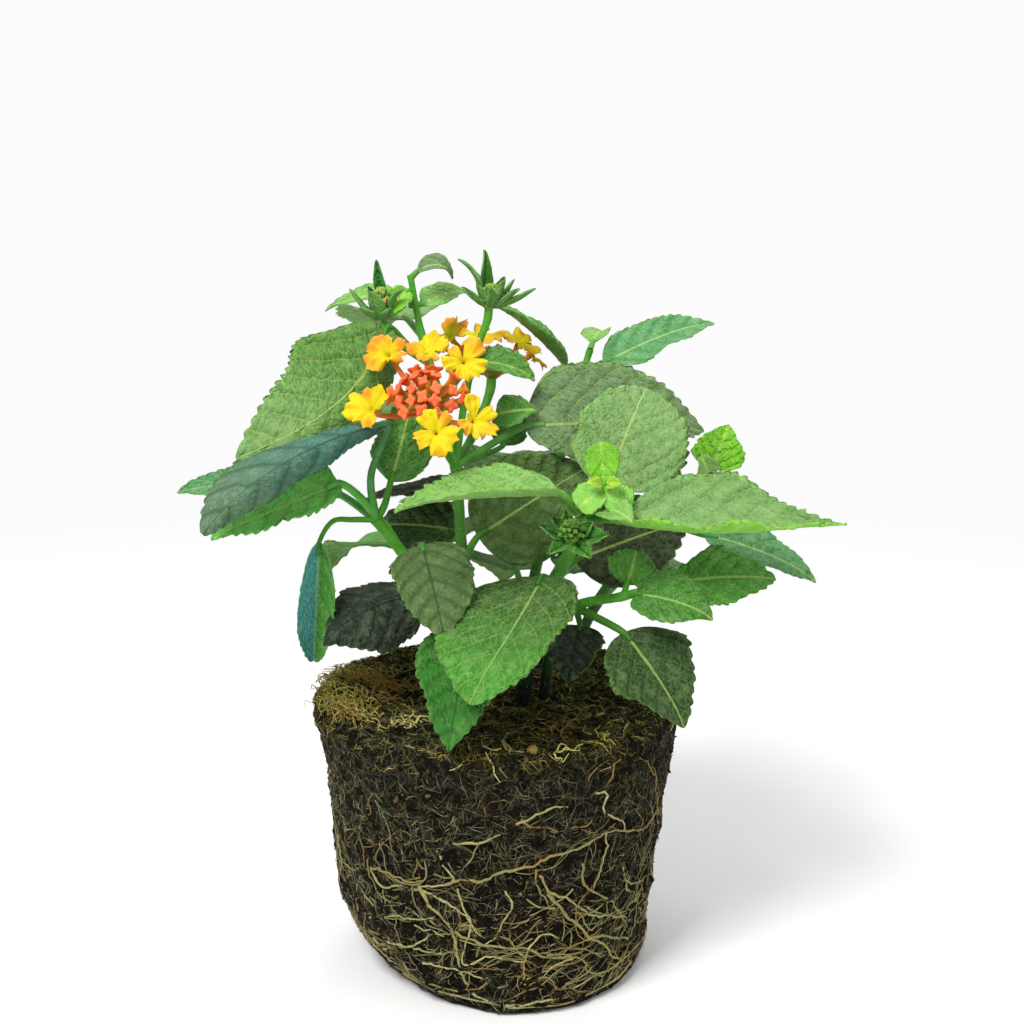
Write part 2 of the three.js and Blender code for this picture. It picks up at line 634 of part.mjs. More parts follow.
// A place for a root's middle on the side, just clear of the relief.
function rootPoint(azimuth, z) {
  const out = plainRadius(z) + BALL_RELIEF * lumps(azimuth, z) + ROOT_CLEARANCE + ROOT_RADIUS;
  return polar(out, azimuth, z);
}

const baseRootZ = (azimuth) => BASE_ROOT_Z + 1.4 * Math.sin(4 * azimuth);

function climbingRoot({ azimuth, turn, top }, i) {
  const points = Array.from({ length: ROOT_POINTS }, (_, k) => {
    const t = k / (ROOT_POINTS - 1);
    const wander = 5 * Math.sin(7 * t + 2 * i) * Math.sqrt(t);
    const dip = 2 * Math.sin(9 * t + i) * t;
    const z = THREE.MathUtils.lerp(baseRootZ(radians(azimuth)), top, t) + dip;
    return rootPoint(radians(azimuth + turn * t + wander), z).toArray();
  });
  return stalk(points, ROOT_RADIUS, 0.7 * ROOT_RADIUS, 3, ROOT_POINTS);
}

function rootNet() {
  const circle = new THREE.CatmullRomCurve3(
    Array.from({ length: BASE_ROOT_POINTS }, (_, i) => {
      const azimuth = (2 * Math.PI * i) / BASE_ROOT_POINTS;
      return rootPoint(azimuth, baseRootZ(azimuth));
    }),
    true,
  );
  const corners = [90, 210, 330].map(radians);
  const section = new THREE.Shape(
    corners.map((angle) => new THREE.Vector2(ROOT_RADIUS * Math.cos(angle), ROOT_RADIUS * Math.sin(angle))),
  );
  const ring = new THREE.ExtrudeGeometry(section, {
    steps: 2 * BASE_ROOT_POINTS,
    extrudePath: circle,
    bevelEnabled: false,
  });
  return union([solid(ring), ...ROOTS.map(climbingRoot)]);
}

// ---- The plant ----
const group = new THREE.Group();
group.add(named("root_ball", rootBall(), COLOURS.peat, 0.95));
group.add(named("root_net", rootNet(), COLOURS.root, 0.8));
for (const [name, stem] of Object.entries(STEMS)) {
  group.add(named(name, leafyStem(stem), COLOURS.leaf, 0.6));
}
for (const [name, head] of Object.entries(FLOWER_HEADS)) {
  const florets = named(`${name}_florets`, ringOfFlorets(head.florets), COLOURS[head.colour], 0.6);
  const buds = named(`${name}_buds`, domeOfBuds(head.buds), COLOURS.coral, 0.6);
  group.add(placed(florets, head), placed(buds, head));
}
for (const [name, head] of Object.entries(BUD_HEADS)) {
  group.add(placed(named(name, budHead(head.bractLength), COLOURS.budGreen, 0.7), head));
}

export default group;
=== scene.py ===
"""Looks of a young lantana lifted out of its pot: leafy stems, flower heads and a rooted ball of peat.

Tables hold millimetres, which become metres where a mesh is made. +X is to the right and -Y to the front.
"""

import math
import random

import bpy
import numpy as np
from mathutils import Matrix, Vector, noise


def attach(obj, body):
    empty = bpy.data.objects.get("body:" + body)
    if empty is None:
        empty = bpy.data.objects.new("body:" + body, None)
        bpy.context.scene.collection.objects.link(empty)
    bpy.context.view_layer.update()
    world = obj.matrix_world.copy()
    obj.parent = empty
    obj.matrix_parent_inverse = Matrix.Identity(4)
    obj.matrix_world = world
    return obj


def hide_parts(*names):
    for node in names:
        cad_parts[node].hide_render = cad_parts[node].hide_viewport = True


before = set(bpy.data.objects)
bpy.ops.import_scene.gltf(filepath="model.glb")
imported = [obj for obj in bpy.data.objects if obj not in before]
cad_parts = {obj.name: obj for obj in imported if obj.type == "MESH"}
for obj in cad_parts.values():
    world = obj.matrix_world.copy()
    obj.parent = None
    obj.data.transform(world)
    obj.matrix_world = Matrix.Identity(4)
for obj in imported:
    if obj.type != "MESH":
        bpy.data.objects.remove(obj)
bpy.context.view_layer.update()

MM = 0.001
BODY = "root"
SKY_WHITE = 0.97
SKY_LIGHT = 0.42


# ---------------------------------------------------------------- colours


def paint(red, green, blue):
    """A colour as it is seen, 0 to 255, turned into linear light."""
    def linear(level):
        level /= 255
        return level / 12.92 if level < 0.04045 else ((level + 0.055) / 1.055) ** 2.4
    return (linear(red), linear(green), linear(blue), 1.0)


# Some tones hold painted light: dark and deep are darker leaves with painted shade from inside the plant,
# shade is painted shade, bright is painted light, and blue and azure are a painted bluish sheen.
LEAF_TONES = {
    "mid": paint(112, 158, 86),
    "meadow": paint(70, 126, 42),
    "soft": paint(110, 153, 86),
    "fresh": paint(58, 142, 36),
    "light": paint(120, 176, 82),
    "young": paint(122, 204, 20),
    "grey": paint(92, 124, 84),
    "fern": paint(46, 124, 30),
    "pine": paint(11, 62, 11),
    "teal": paint(66, 138, 88),
    "blue": paint(70, 122, 112),
    "dark": paint(14, 38, 11),
    "deep": paint(12, 31, 24),
    "azure": paint(74, 172, 190),
    "olive": paint(66, 100, 38),
    "shade": paint(30, 88, 16),
    "sage": paint(86, 112, 60),
    "ash": paint(98, 130, 100),
    "silver": paint(112, 154, 90),
    "bud": paint(140, 210, 80),
    "bright": paint(104, 206, 88),
    "lime": paint(186, 226, 40),
    "pale": paint(92, 160, 100),
    "bract": paint(60, 136, 24),
}
PALE_STEM_TONE = paint(78, 156, 32)
RIM_TONE = paint(160, 214, 90)
YELLOW = paint(208, 206, 2)
GOLD = paint(224, 180, 5)
APRICOT = paint(244, 152, 26)
# Ochre for painted shade in the petals' folds
FOLD_SHADE_OCHRE = paint(226, 140, 12)
THROAT = paint(206, 112, 8)
TUBE = paint(214, 112, 34)
RED_TUBE = paint(206, 74, 36)
CORAL = paint(230, 82, 36)
PINK = paint(248, 150, 112)
BUD_NECK = paint(232, 134, 26)
OLIVE = paint(128, 122, 28)
YOUNG_BUD = paint(112, 158, 52)
DARK_BUD = paint(58, 96, 26)
PALE_BUD = paint(166, 190, 84)


def mixed(first, second, share):
    """A colour that lies the given share of the way from the first to the second."""
    share = np.asarray(share)[..., None]
    return np.asarray(first) * (1 - share) + np.asarray(second) * share


# ---------------------------------------------------------------- node trees


def wire(tree, kind, inputs=None, **settings):
    """Adds a node. Inputs maps an input's name or place to a value or to another node's socket."""
    made = tree.nodes.new(kind)
    for key, value in settings.items():
        setattr(made, key, value)
    for key, value in (inputs or {}).items():
        if isinstance(value, bpy.types.NodeSocket):
            tree.links.new(value, made.inputs[key])
        else:
            made.inputs[key].default_value = value
    return made


def maths(tree, operation, first, second=0.0, third=0.0):
    """One step of arithmetic."""
    return wire(tree, "ShaderNodeMath", {0: first, 1: second, 2: third}, operation=operation).outputs[0]


def fade(tree, value, start, end, low=0.0, high=1.0):
    """Goes smoothly from low at start to high at end."""
    wires = {"Value": value, "From Min": start, "From Max": end, "To Min": low, "To Max": high}
    return wire(tree, "ShaderNodeMapRange", wires, interpolation_type="SMOOTHSTEP").outputs[0]


def blend(tree, share, first, second, how="MIX"):
    """Mixes two colours."""
    made = wire(tree, "ShaderNodeMix", {0: share, 6: first, 7: second}, data_type="RGBA", blend_type=how)
    return made.outputs[2]


def dyed(tree, colour, dye):
    """A colour multiplied by another."""
    return blend(tree, 1.0, colour, dye, "MULTIPLY")


def layered(tree, colour, *layers):
    """Lays colours over a colour. Each layer is (value, start, end, share, colour laid over).

    A layer is clear where its value is at start, and covers its share where the value is at end.
    """
    for value, start, end, share, over in layers:
        colour = blend(tree, fade(tree, value, start, end, 0.0, share), colour, over)
    return colour


def grain(tree, place, scale, detail=3.0, roughness=0.55, distortion=0.0):
    """Cloudy noise, 0 to 1."""
    wires = {"Vector": place, "Scale": scale, "Detail": detail, "Roughness": roughness,
             "Distortion": distortion}
    return wire(tree, "ShaderNodeTexNoise", wires).outputs[0]


def cells(tree, place, scale, feature="F1"):
    """Distance in a pattern of cells."""
    return wire(tree, "ShaderNodeTexVoronoi", {"Vector": place, "Scale": scale}, feature=feature).outputs[0]


def value_of(tree, name, output):
    """A named value that the mesh carries at its points."""
    return wire(tree, "ShaderNodeAttribute", attribute_name=name).outputs[output]


def object_place(tree):
    """Where a point lies, in metres."""
    return wire(tree, "ShaderNodeTexCoord").outputs["Object"]


def fresh_material(name, roughness, sheen=0.0, specular=0.4):
    """A material with only a Principled shader, whose even values are set on its own sockets."""
    material = bpy.data.materials.new(name)
    material.use_nodes = True
    tree = material.node_tree
    tree.nodes.clear()
    shader = wire(tree, "ShaderNodeBsdfPrincipled", {
        "Roughness": roughness, "Sheen Weight": sheen, "Specular IOR Level": specular})
    wire(tree, "ShaderNodeOutputMaterial", {"Surface": shader.outputs[0]})
    return material, tree, shader


def finished(material, shader, colour, height, depth_mm):
    """Gives a material its colour and its relief, from a height of about 0 to 1."""
    tree = material.node_tree
    relief = wire(tree, "ShaderNodeBump", {"Height": height, "Distance": depth_mm * MM, "Strength": 1.0})
    tree.links.new(colour, shader.inputs["Base Color"])
    tree.links.new(relief.outputs[0], shader.inputs["Normal"])
    return material


# ---------------------------------------------------------------- materials


def leaf_finish(name, upper):
    """Wrinkled leaf: midrib, curved side veins, raised fields between them, a fine net, a pale bloom, and
    painted highlight and shade on its wrinkles and veins.
    """
    material, tree, shader = fresh_material(name, 0.52 if upper else 0.68, sheen=0.03, specular=0.26)
    tone = value_of(tree, "tone", "Color")
    place = value_of(tree, "leaf_mm", "Vector")
    lightness = value_of(tree, "veins", "Fac")
    split = wire(tree, "ShaderNodeSeparateXYZ", {0: place}).outputs
    off_rib = maths(tree, "ABSOLUTE", split[0])
    from_rib = maths(tree, "DIVIDE", off_rib, fade(tree, split[1], 0.0, 42.0, 0.38, 0.12))
    wobble = grain(tree, place, 0.4, 2.0)
    shake = grain(tree, place, 1.1, 2.0)
    bent_lane = maths(tree, "MULTIPLY_ADD", wobble, 0.3, value_of(tree, "lane", "Fac"))
    from_vein = maths(tree, "PINGPONG", bent_lane, 0.5)
    along_vein = maths(tree, "MULTIPLY_ADD", split[1], 0.8, off_rib)
    field_place = wire(tree, "ShaderNodeCombineXYZ", {
        0: maths(tree, "MULTIPLY_ADD", shake, 0.5, maths(tree, "MULTIPLY", bent_lane, 1.8)),
        1: maths(tree, "MULTIPLY_ADD", shake, 0.8, maths(tree, "MULTIPLY", along_vein, 0.55)),
        2: split[2]}).outputs[0]
    field = cells(tree, field_place, 1.0, "DISTANCE_TO_EDGE")
    net = cells(tree, place, 1.25, "DISTANCE_TO_EDGE")
    speckle = grain(tree, place, 3.1, 4.0, 0.7)
    crinkle = grain(tree, place, 0.8, 4.0, 0.6, 0.8)
    light_line = blend(tree, 0.6, tone, paint(190, 214, 110))
    # Dark vein lines are painted shade in the vein grooves; light ones are the veins' own pale colour.
    groove_shade_line = dyed(tree, tone, (0.28, 0.36, 0.24, 1.0))
    vein_tone = blend(tree, lightness, groove_shade_line, light_line)
    rib_tone = blend(tree, fade(tree, lightness, 0.15, 0.3), groove_shade_line, light_line)
    shade = dyed(tree, tone, (0.5, 0.6, 0.45, 1.0))
    # A pale bloom that also serves as painted highlight on the raised crinkles.
    bloom_and_highlight = blend(tree, 0.25, tone, paint(186, 206, 150))
    colour = layered(
        tree, tone,
        (grain(tree, place, 0.13, 4.0), 0.34, 0.7, 0.5, shade),
        (speckle, 0.5, 0.75, 0.3, shade),
        # Crinkles: painted shade in their hollows, painted highlight on their raised parts.
        (crinkle, 0.52, 0.36, 0.5, shade),
        (crinkle, 0.52, 0.7, 0.4, bloom_and_highlight),
        (grain(tree, place, 0.3, 3.0), 0.45, 0.72, 0.5, bloom_and_highlight),
        (speckle, 0.42, 0.25, 0.25, bloom_and_highlight),
        # Painted shade in the valleys along the side veins.
        (from_vein, 0.26, 0.0, fade(tree, lightness, 0.35, 0.7, 0.7, 0.34), shade),
        (net, 0.13, 0.0, 0.2, vein_tone),
        (field, 0.1, 0.01, 0.27, vein_tone),
        (from_vein, fade(tree, lightness, 0.15, 0.3, 0.085, 0.042), 0.01, 0.46, vein_tone),
        (from_rib, 1.35, 0.75, fade(tree, lightness, 0.15, 0.7, 0.8, 0.75), rib_tone))
    if not upper:
        colour = blend(tree, 0.22, colour, paint(150, 190, 110))
    dome = maths(tree, "MULTIPLY", fade(tree, field, 0.0, 0.4), 0.75)
    dome = maths(tree, "MULTIPLY_ADD", fade(tree, net, 0.0, 0.3), 0.16, dome)
    dome = maths(tree, "MULTIPLY_ADD", fade(tree, from_vein, -0.06, 0.36), 1.1, dome)
    dome = maths(tree, "MULTIPLY_ADD", crinkle, 0.8, dome)
    dome = maths(tree, "MULTIPLY", dome, 1.0 if upper else -0.7)
    height = maths(tree, "MULTIPLY_ADD", speckle, 0.2, dome)
    return finished(material, shader, colour, height, 0.42)


def stem_finish():
    """Green stem, streaked along and a little bristly."""
    material, tree, shader = fresh_material("stem_skin", 0.5, sheen=0.04, specular=0.3)
    tone = value_of(tree, "tone", "Color")
    place = object_place(tree)
    fleck = grain(tree, place, 1500.0, 3.0, 0.7)
    colour = layered(
        tree, tone,
        (grain(tree, place, 180.0, 4.0), 0.35, 0.7, 0.8, dyed(tree, tone, (0.5, 0.62, 0.45, 1.0))),
        (fleck, 0.52, 0.8, 0.6, blend(tree, 0.35, tone, paint(176, 206, 110))))
    return finished(material, shader, colour, fleck, 0.18)


def petal_finish():
    """Soft crinkled petal that carries its own colours."""
    material, tree, shader = fresh_material("petal", 0.55, sheen=0.05, specular=0.2)
    tone = value_of(tree, "tone", "Color")
    place = object_place(tree)
    fine = grain(tree, place, 900.0, 4.0, 0.6)
    broad = grain(tree, place, 260.0, 2.0)
    warm = dyed(tree, tone, (0.97, 0.76, 0.6, 1.0))
    colour = layered(tree, tone, (broad, 0.45, 0.72, 0.35, warm), (fine, 0.55, 0.8, 0.35, warm))
    return finished(material, shader, colour, maths(tree, "MULTIPLY_ADD", broad, 1.2, fine), 0.3)


def peat_finish():
    """Moist fibrous peat: near black, with brown crumbs and a few rusty flecks."""
    material, tree, shader = fresh_material("peat_mass", 0.9, specular=0.06)
    place = object_place(tree)
    fine = grain(tree, place, 700.0, 5.0, 0.7, 1.5)
    crumb = cells(tree, place, 620.0)
    colour = layered(
        tree, paint(17, 15, 10),
        (grain(tree, place, 55.0, 5.0, 0.6), 0.3, 0.75, 1.0, paint(37, 33, 22)),
        (fine, 0.5, 0.72, 1.0, paint(70, 63, 42)),
        (crumb, 0.22, 0.5, 0.8, paint(14, 11, 8)),
        (grain(tree, place, 240.0, 3.0), 0.62, 0.75, 0.5, paint(104, 62, 34)))
    return finished(material, shader, colour, maths(tree, "MULTIPLY_ADD", crumb, -0.6, fine), 0.9)


def strand_finish(name, tones, patch=None):
    """Fibres, moss or straw, each strand with a tone that its tint picks.

    Patch dyes them in some places, and with it a band under the rim gets painted shade from the leaves above.
    """
    material, tree, shader = fresh_material(name, 0.75, specular=0.16)
    tint = value_of(tree, "tint", "Fac")
    place = object_place(tree)
    spread = maths(tree, "MULTIPLY_ADD", grain(tree, place, 500.0), 0.25, tint)
    ramp = wire(tree, "ShaderNodeValToRGB", {0: maths(tree, "SUBTRACT", spread, 0.12)})
    ramp.color_ramp.elements[0].color = tones[0]
    ramp.color_ramp.elements[1].color = tones[-1]
    for step, tone in enumerate(tones[1:-1], 1):
        ramp.color_ramp.elements.new(step / (len(tones) - 1)).color = tone
    colour = ramp.outputs[0]
    if patch:
        share = fade(tree, grain(tree, place, 62.0, 3.0), 0.54, 0.7, 0.0, 0.7)
        colour = blend(tree, share, colour, dyed(tree, colour, patch))
        # Painted shade of the leaves: a dark band under the rim, weaker on the top.
        height = wire(tree, "ShaderNodeSeparateXYZ", {0: place}).outputs[2]
        leaf_shade_band = maths(tree, "MULTIPLY", fade(tree, height, 0.05, 0.066, 0.0, 0.42),
                     fade(tree, height, 0.073, 0.077, 1.0, 0.3))
        colour = blend(tree, leaf_shade_band, colour, paint(12, 14, 6))
    return finished(material, shader, colour, grain(tree, place, 2200.0), 0.1)


def root_finish():
    """Pale root with rusty stretches and a scaly skin."""
    material, tree, shader = fresh_material("root_skin", 0.62, specular=0.35)
    place = object_place(tree)
    fine = grain(tree, place, 1400.0, 4.0, 0.7)
    colour = layered(
        tree, value_of(tree, "tone", "Color"),
        (fine, 0.4, 0.7, 0.6, paint(98, 94, 52)),
        (grain(tree, place, 70.0, 3.0), 0.6, 0.72, 0.5, paint(150, 104, 36)))
    return finished(material, shader, colour, fine, 0.2)


def floor_finish():
    """Plain pale floor that glows as white as the sky far from the plant."""
    material, tree, shader = fresh_material("floor_paper", 0.9, specular=0.05)
    place = object_place(tree)
    faint = fade(tree, grain(tree, place, 6.0), 0.3, 0.7)
    colour = blend(tree, faint, (0.93, 0.93, 0.93, 1.0), (0.95, 0.95, 0.95, 1.0))
    tree.links.new(colour, shader.inputs["Base Color"])
    distance = wire(tree, "ShaderNodeVectorMath", {0: place}, operation="LENGTH").outputs[1]
    glow = wire(tree, "ShaderNodeEmission", {"Color": (1.0, 1.0, 1.0, 1.0), "Strength": SKY_WHITE})
    share = fade(tree, distance, 0.13, 0.75)
    both = wire(tree, "ShaderNodeMixShader", {0: share, 1: shader.outputs[0], 2: glow.outputs[0]})
    output = next(node for node in tree.nodes if node.bl_idname == "ShaderNodeOutputMaterial")
    tree.links.new(both.outputs[0], output.inputs["Surface"])
    return material


LEAF_TOP = leaf_finish("leaf_upper_side", True)
LEAF_BACK = leaf_finish("leaf_underside", False)
STEM_SKIN = stem_finish()
PETAL = petal_finish()
PEAT = peat_finish()
ROOT_SKIN = root_finish()
FIBRE = strand_finish("peat_fibre", [
    paint(17, 17, 11), paint(40, 39, 28), paint(68, 64, 47), paint(98, 94, 66), paint(152, 151, 112)],
    (1.4, 0.95, 0.6, 1.0))
MOSS = strand_finish("moss_strand", [
    paint(22, 28, 8), paint(50, 58, 18), paint(88, 90, 30), paint(140, 134, 50), paint(206, 194, 96)],
    (1.25, 0.8, 0.5, 1.0))
STRAW = strand_finish("straw", [
    paint(112, 84, 44), paint(170, 140, 74), paint(206, 184, 116), paint(226, 208, 150)])
CRUMB = strand_finish("peat_crumb", [
    paint(16, 15, 10), paint(36, 32, 22), paint(62, 52, 34), paint(104, 78, 44)])
HAIR = strand_finish("plant_hair", [
    paint(150, 190, 120), paint(196, 216, 176), paint(226, 236, 214)])


# ---------------------------------------------------------------- mesh helpers


def unit(direction):
    """A direction of length one; works on one vector or on an array of them."""
    direction = np.asarray(direction, float)
    return direction / np.maximum(np.linalg.norm(direction, axis=-1, keepdims=True), 1e-9)


def add_object(name, data):
    """Places a mesh, a camera or a light in the scene, at the origin."""
    made = bpy.data.objects.new(name, data)
    bpy.context.scene.collection.objects.link(made)
    return made


class Skin:
    """Gathers points in millimetres, faces and named point values, and makes one mesh of them."""

    KINDS = {1: ("FLOAT", "value"), 3: ("FLOAT_VECTOR", "vector"), 4: ("FLOAT_COLOR", "color")}

    def __init__(self):
        self.points = []
        self.faces = []
        self.finishes = []
        self.values = {}
        self.count = 0

    def add(self, points, faces, finishes, **values):
        """Adds points, the faces between them, a material number for each face, and point values."""
        points = np.asarray(points, float).reshape(-1, 3)
        self.points.append(points)
        self.faces += [[corner + self.count for corner in face] for face in faces]
        self.finishes += list(finishes)
        for name, value in values.items():
            self.values.setdefault(name, []).append(np.asarray(value, float).reshape(len(points), -1))
        self.count += len(points)

    def build(self, name, materials):
        """Makes the mesh object."""
        mesh = bpy.data.meshes.new(name)
        mesh.from_pydata((np.concatenate(self.points) * MM).tolist(), [], self.faces)
        mesh.polygons.foreach_set("material_index", self.finishes)
        mesh.shade_smooth()
        for key, blocks in self.values.items():
            table = np.concatenate(blocks)
            kind, field = self.KINDS[table.shape[1]]
            mesh.attributes.new(key, kind, "POINT").data.foreach_set(field, table.ravel())
        for material in materials:
            mesh.materials.append(material)
        return add_object(name, mesh)


def grid_faces(numbers, closed=False):
    """Four-sided faces over a table of point numbers; closed joins the last column to the first."""
    numbers = np.asarray(numbers)
    if closed:
        numbers = np.concatenate([numbers, numbers[:, :1]], axis=1)
    corners = [numbers[:-1, :-1], numbers[:-1, 1:], numbers[1:, 1:], numbers[1:, :-1]]
    return np.stack(corners, axis=-1).reshape(-1, 4).tolist()


def shell_faces(rings, sides, downward=False):
    """Faces of a closed shell made of rings of points from the bottom up, with a cap at each end."""
    numbers = np.arange(rings * sides).reshape(rings, sides)
    if downward:
        numbers = numbers[::-1]
    return grid_faces(numbers, closed=True) + [numbers[0].tolist()[::-1], numbers[-1].tolist()]


def between(first, last, start, end, t):
    """Where t lies on the line that passes the first point at start and the last one at end."""
    return first + (last - first) * (t - start) / (end - start)


def smooth_path(points, step):
    """A Catmull-Rom curve through the points, cut into short steps, and how far along each place is."""
    points = np.asarray(points, float)
    ends = np.concatenate([[2 * points[0] - points[1]], points, [2 * points[-1] - points[-2]]])
    places, marks = [], []
    for number in range(len(points) - 1):
        a, b, c, d = ends[number:number + 4]
        strides = [max(np.linalg.norm(q - p), 1e-3) ** 0.5 for p, q in ((a, b), (b, c), (c, d))]
        k0, k1, k2, k3 = np.cumsum([0] + strides)
        count = max(2, math.ceil(np.linalg.norm(c - b) / step))
        for t in np.linspace(k1, k2, count, endpoint=False):
            ab = between(a, b, k0, k1, t)
            bc = between(b, c, k1, k2, t)
            cd = between(c, d, k2, k3, t)
            places.append(between(between(ab, bc, k0, k2, t), between(bc, cd, k1, k3, t), k1, k2, t))
            marks.append(number + (t - k1) / (k2 - k1))
    places.append(points[-1])
    marks.append(len(points) - 1)
    return np.array(places), np.array(marks) / (len(points) - 1)


# ---------------------------------------------------------------- geometry nodes


def start_tree(name, floats=(), whole=()):
    """A geometry tree with named inputs. Gives the tree and the sockets of its group input."""
    tree = bpy.data.node_groups.new(name, "GeometryNodeTree")
    tree.interface.new_socket("Geometry", in_out="OUTPUT", socket_type="NodeSocketGeometry")
    kinds = {"Geometry": "Geometry", "Material": "Material"}
    kinds.update({label: "Float" for label in floats})
    kinds.update({label: "Int" for label in whole})
    for label, kind in kinds.items():
        tree.interface.new_socket(label, in_out="INPUT", socket_type="NodeSocket" + kind)
    return tree, tree.nodes.new("NodeGroupInput").outputs


def end_tree(tree, geometry, material):
    """Ends a tree in Realize Instances, smooth shading and Set Material."""
    solid = wire(tree, "GeometryNodeRealizeInstances", {"Geometry": geometry})
    smooth = wire(tree, "GeometryNodeSetShadeSmooth", {"Geometry": solid.outputs[0]})
    dressed = wire(tree, "GeometryNodeSetMaterial", {"Geometry": smooth.outputs[0], "Material": material})
    wire(tree, "NodeGroupOutput", {0: dressed.outputs[0]})
    return tree


def named(tree, name):
    """Reads a named point value inside a geometry tree."""
    return wire(tree, "GeometryNodeInputNamedAttribute", {"Name": name}, data_type="FLOAT").outputs[0]


def chance(tree, low, high, seed):
    """A random number for each element."""
    return wire(tree, "FunctionNodeRandomValue", {2: low, 3: high, "Seed": seed}).outputs[1]


def random_vector(tree, low, high):
    """A random vector for each element."""
    return wire(tree, "FunctionNodeRandomValue", {0: low, 1: high}, data_type="FLOAT_VECTOR").outputs[0]


def random_turn(tree, low, high):
    """A random turn for each element, its three angles between low and high."""
    return wire(tree, "FunctionNodeEulerToRotation", {0: random_vector(tree, low, high)}).outputs[0]


def axis_turn(tree, axis, angle):
    """A turn about an axis."""
    return wire(tree, "FunctionNodeAxisAngleToRotation", {"Axis": axis, "Angle": angle}).outputs[0]


def turned(tree, first, second):
    """A turn, then another in the turned frame."""
    return wire(tree, "FunctionNodeRotateRotation", {0: first, 1: second}, rotation_space="LOCAL").outputs[0]


def scaled(tree, vector, size):
    """A vector times a number."""
    return wire(tree, "ShaderNodeVectorMath", {0: vector, "Scale": size}, operation="SCALE").outputs[0]


def scattered(tree, feed, value):
    """Points over a ground, as dense as the input Density times a named value. Gives their sockets."""
    density = maths(tree, "MULTIPLY", named(tree, value), feed["Density"])
    return wire(tree, "GeometryNodeDistributePointsOnFaces", {
        "Mesh": feed["Geometry"], "Density": density, "Seed": feed["Seed"]}).outputs


def planted(tree, points, shape, turn, size):
    """A shape on each point."""
    return wire(tree, "GeometryNodeInstanceOnPoints", {
        "Points": points[0], "Instance": shape.outputs[0], "Rotation": turn, "Scale": size}).outputs[0]


def stored(tree, geometry, name, value):
    """Stores a named value on each instance."""
    return wire(tree, "GeometryNodeStoreNamedAttribute", {
        "Geometry": geometry, "Name": name, "Value": value}, domain="INSTANCE").outputs[0]


def moved(tree, geometry, **where):
    """Moves points: Offset shifts them and Position places them."""
    return wire(tree, "GeometryNodeSetPosition", {"Geometry": geometry, **where}).outputs[0]


def tubed(tree, curve, sides, radius):
    """A round tube along each curve."""
    ring = wire(tree, "GeometryNodeCurvePrimitiveCircle", {"Resolution": sides, "Radius": 1.0})
    return wire(tree, "GeometryNodeCurveToMesh", {
        "Curve": curve, "Profile Curve": ring.outputs[0], "Scale": radius, "Fill Caps": True}).outputs[0]


def tube_tree():
    """Turns chains of edges into round tubes, as thick as the value 'thickness' says."""
    tree, feed = start_tree("tubes_along_paths", whole=["Sides"])
    curve = wire(tree, "GeometryNodeMeshToCurve", {"Mesh": feed["Geometry"]}).outputs[0]
    return end_tree(tree, tubed(tree, curve, feed["Sides"], named(tree, "thickness")), feed["Material"])


def strand_tree():
    """Scatters bent strands over a ground, as densely as its value 'cover' says."""
    tree, feed = start_tree("strands_on_ground", whole=["Bends", "Seed"],
                            floats=["Density", "Length", "Thickness", "Wiggle", "Lift", "Hug"])
    points = scattered(tree, feed, "cover")
    line = wire(tree, "GeometryNodeCurvePrimitiveLine", {"Start": (-0.5, 0, 0), "End": (0.5, 0, 0)})
    line = wire(tree, "GeometryNodeResampleCurve", {"Curve": line.outputs[0], "Count": feed["Bends"]})
    yaw = axis_turn(tree, (0, 0, 1), chance(tree, 0.0, math.tau, feed["Seed"]))
    pitch = axis_turn(tree, (0, 1, 0), maths(tree, "MULTIPLY", chance(tree, -1.0, 1.0, 7), feed["Lift"]))
    turn = turned(tree, turned(tree, points["Rotation"], yaw), pitch)
    size = maths(tree, "MULTIPLY", chance(tree, 0.45, 1.3, 3), feed["Length"])
    strands = planted(tree, points, line, turn, size)
    strands = stored(tree, strands, "tint", chance(tree, 0.0, 1.0, 11))
    thickness = maths(tree, "MULTIPLY", chance(tree, 0.55, 1.35, 5), feed["Thickness"])
    strands = stored(tree, strands, "thickness", thickness)
    strands = wire(tree, "GeometryNodeRealizeInstances", {"Geometry": strands}).outputs[0]
    place = wire(tree, "GeometryNodeInputPosition").outputs[0]
    cloud = wire(tree, "ShaderNodeTexNoise", {"Vector": place, "Scale": 260.0, "Detail": 2.0}).outputs[1]
    centred = wire(tree, "ShaderNodeVectorMath", {0: cloud, 1: (0.5, 0.5, 0.5)}, operation="SUBTRACT")
    strands = moved(tree, strands, Offset=scaled(tree, centred.outputs[0], feed["Wiggle"]))
    nearest = wire(tree, "GeometryNodeProximity", {0: feed["Geometry"]}).outputs[0]
    pulled = wire(tree, "ShaderNodeMix", {0: feed["Hug"], 4: place, 5: nearest}, data_type="VECTOR")
    strands = moved(tree, strands, Position=pulled.outputs[1])
    along = wire(tree, "GeometryNodeSplineParameter").outputs[0]
    taper = maths(tree, "SINE", maths(tree, "MULTIPLY_ADD", along, 2.5, 0.32))
    radius = maths(tree, "MULTIPLY", named(tree, "thickness"), taper)
    return end_tree(tree, tubed(tree, strands, 3, radius), feed["Material"])


def bristle_tree():
    """Scatters fine pointed hairs over a skin, as densely as its value 'hair' says."""
    tree, feed = start_tree("bristles_on_skin", ["Density", "Length", "Thickness"], ["Seed"])
    points = scattered(tree, feed, "hair")
    turn = turned(tree, points["Rotation"], random_turn(tree, (-0.7, -0.7, -3.2), (0.7, 0.7, 3.2)))
    hair = wire(tree, "GeometryNodeMeshCone", {
        "Vertices": 3, "Radius Bottom": feed["Thickness"], "Radius Top": 0.0, "Depth": feed["Length"]})
    hairs = planted(tree, points, hair, turn, chance(tree, 0.5, 1.2, 2))
    return end_tree(tree, stored(tree, hairs, "tint", chance(tree, 0.0, 1.0, 4)), feed["Material"])


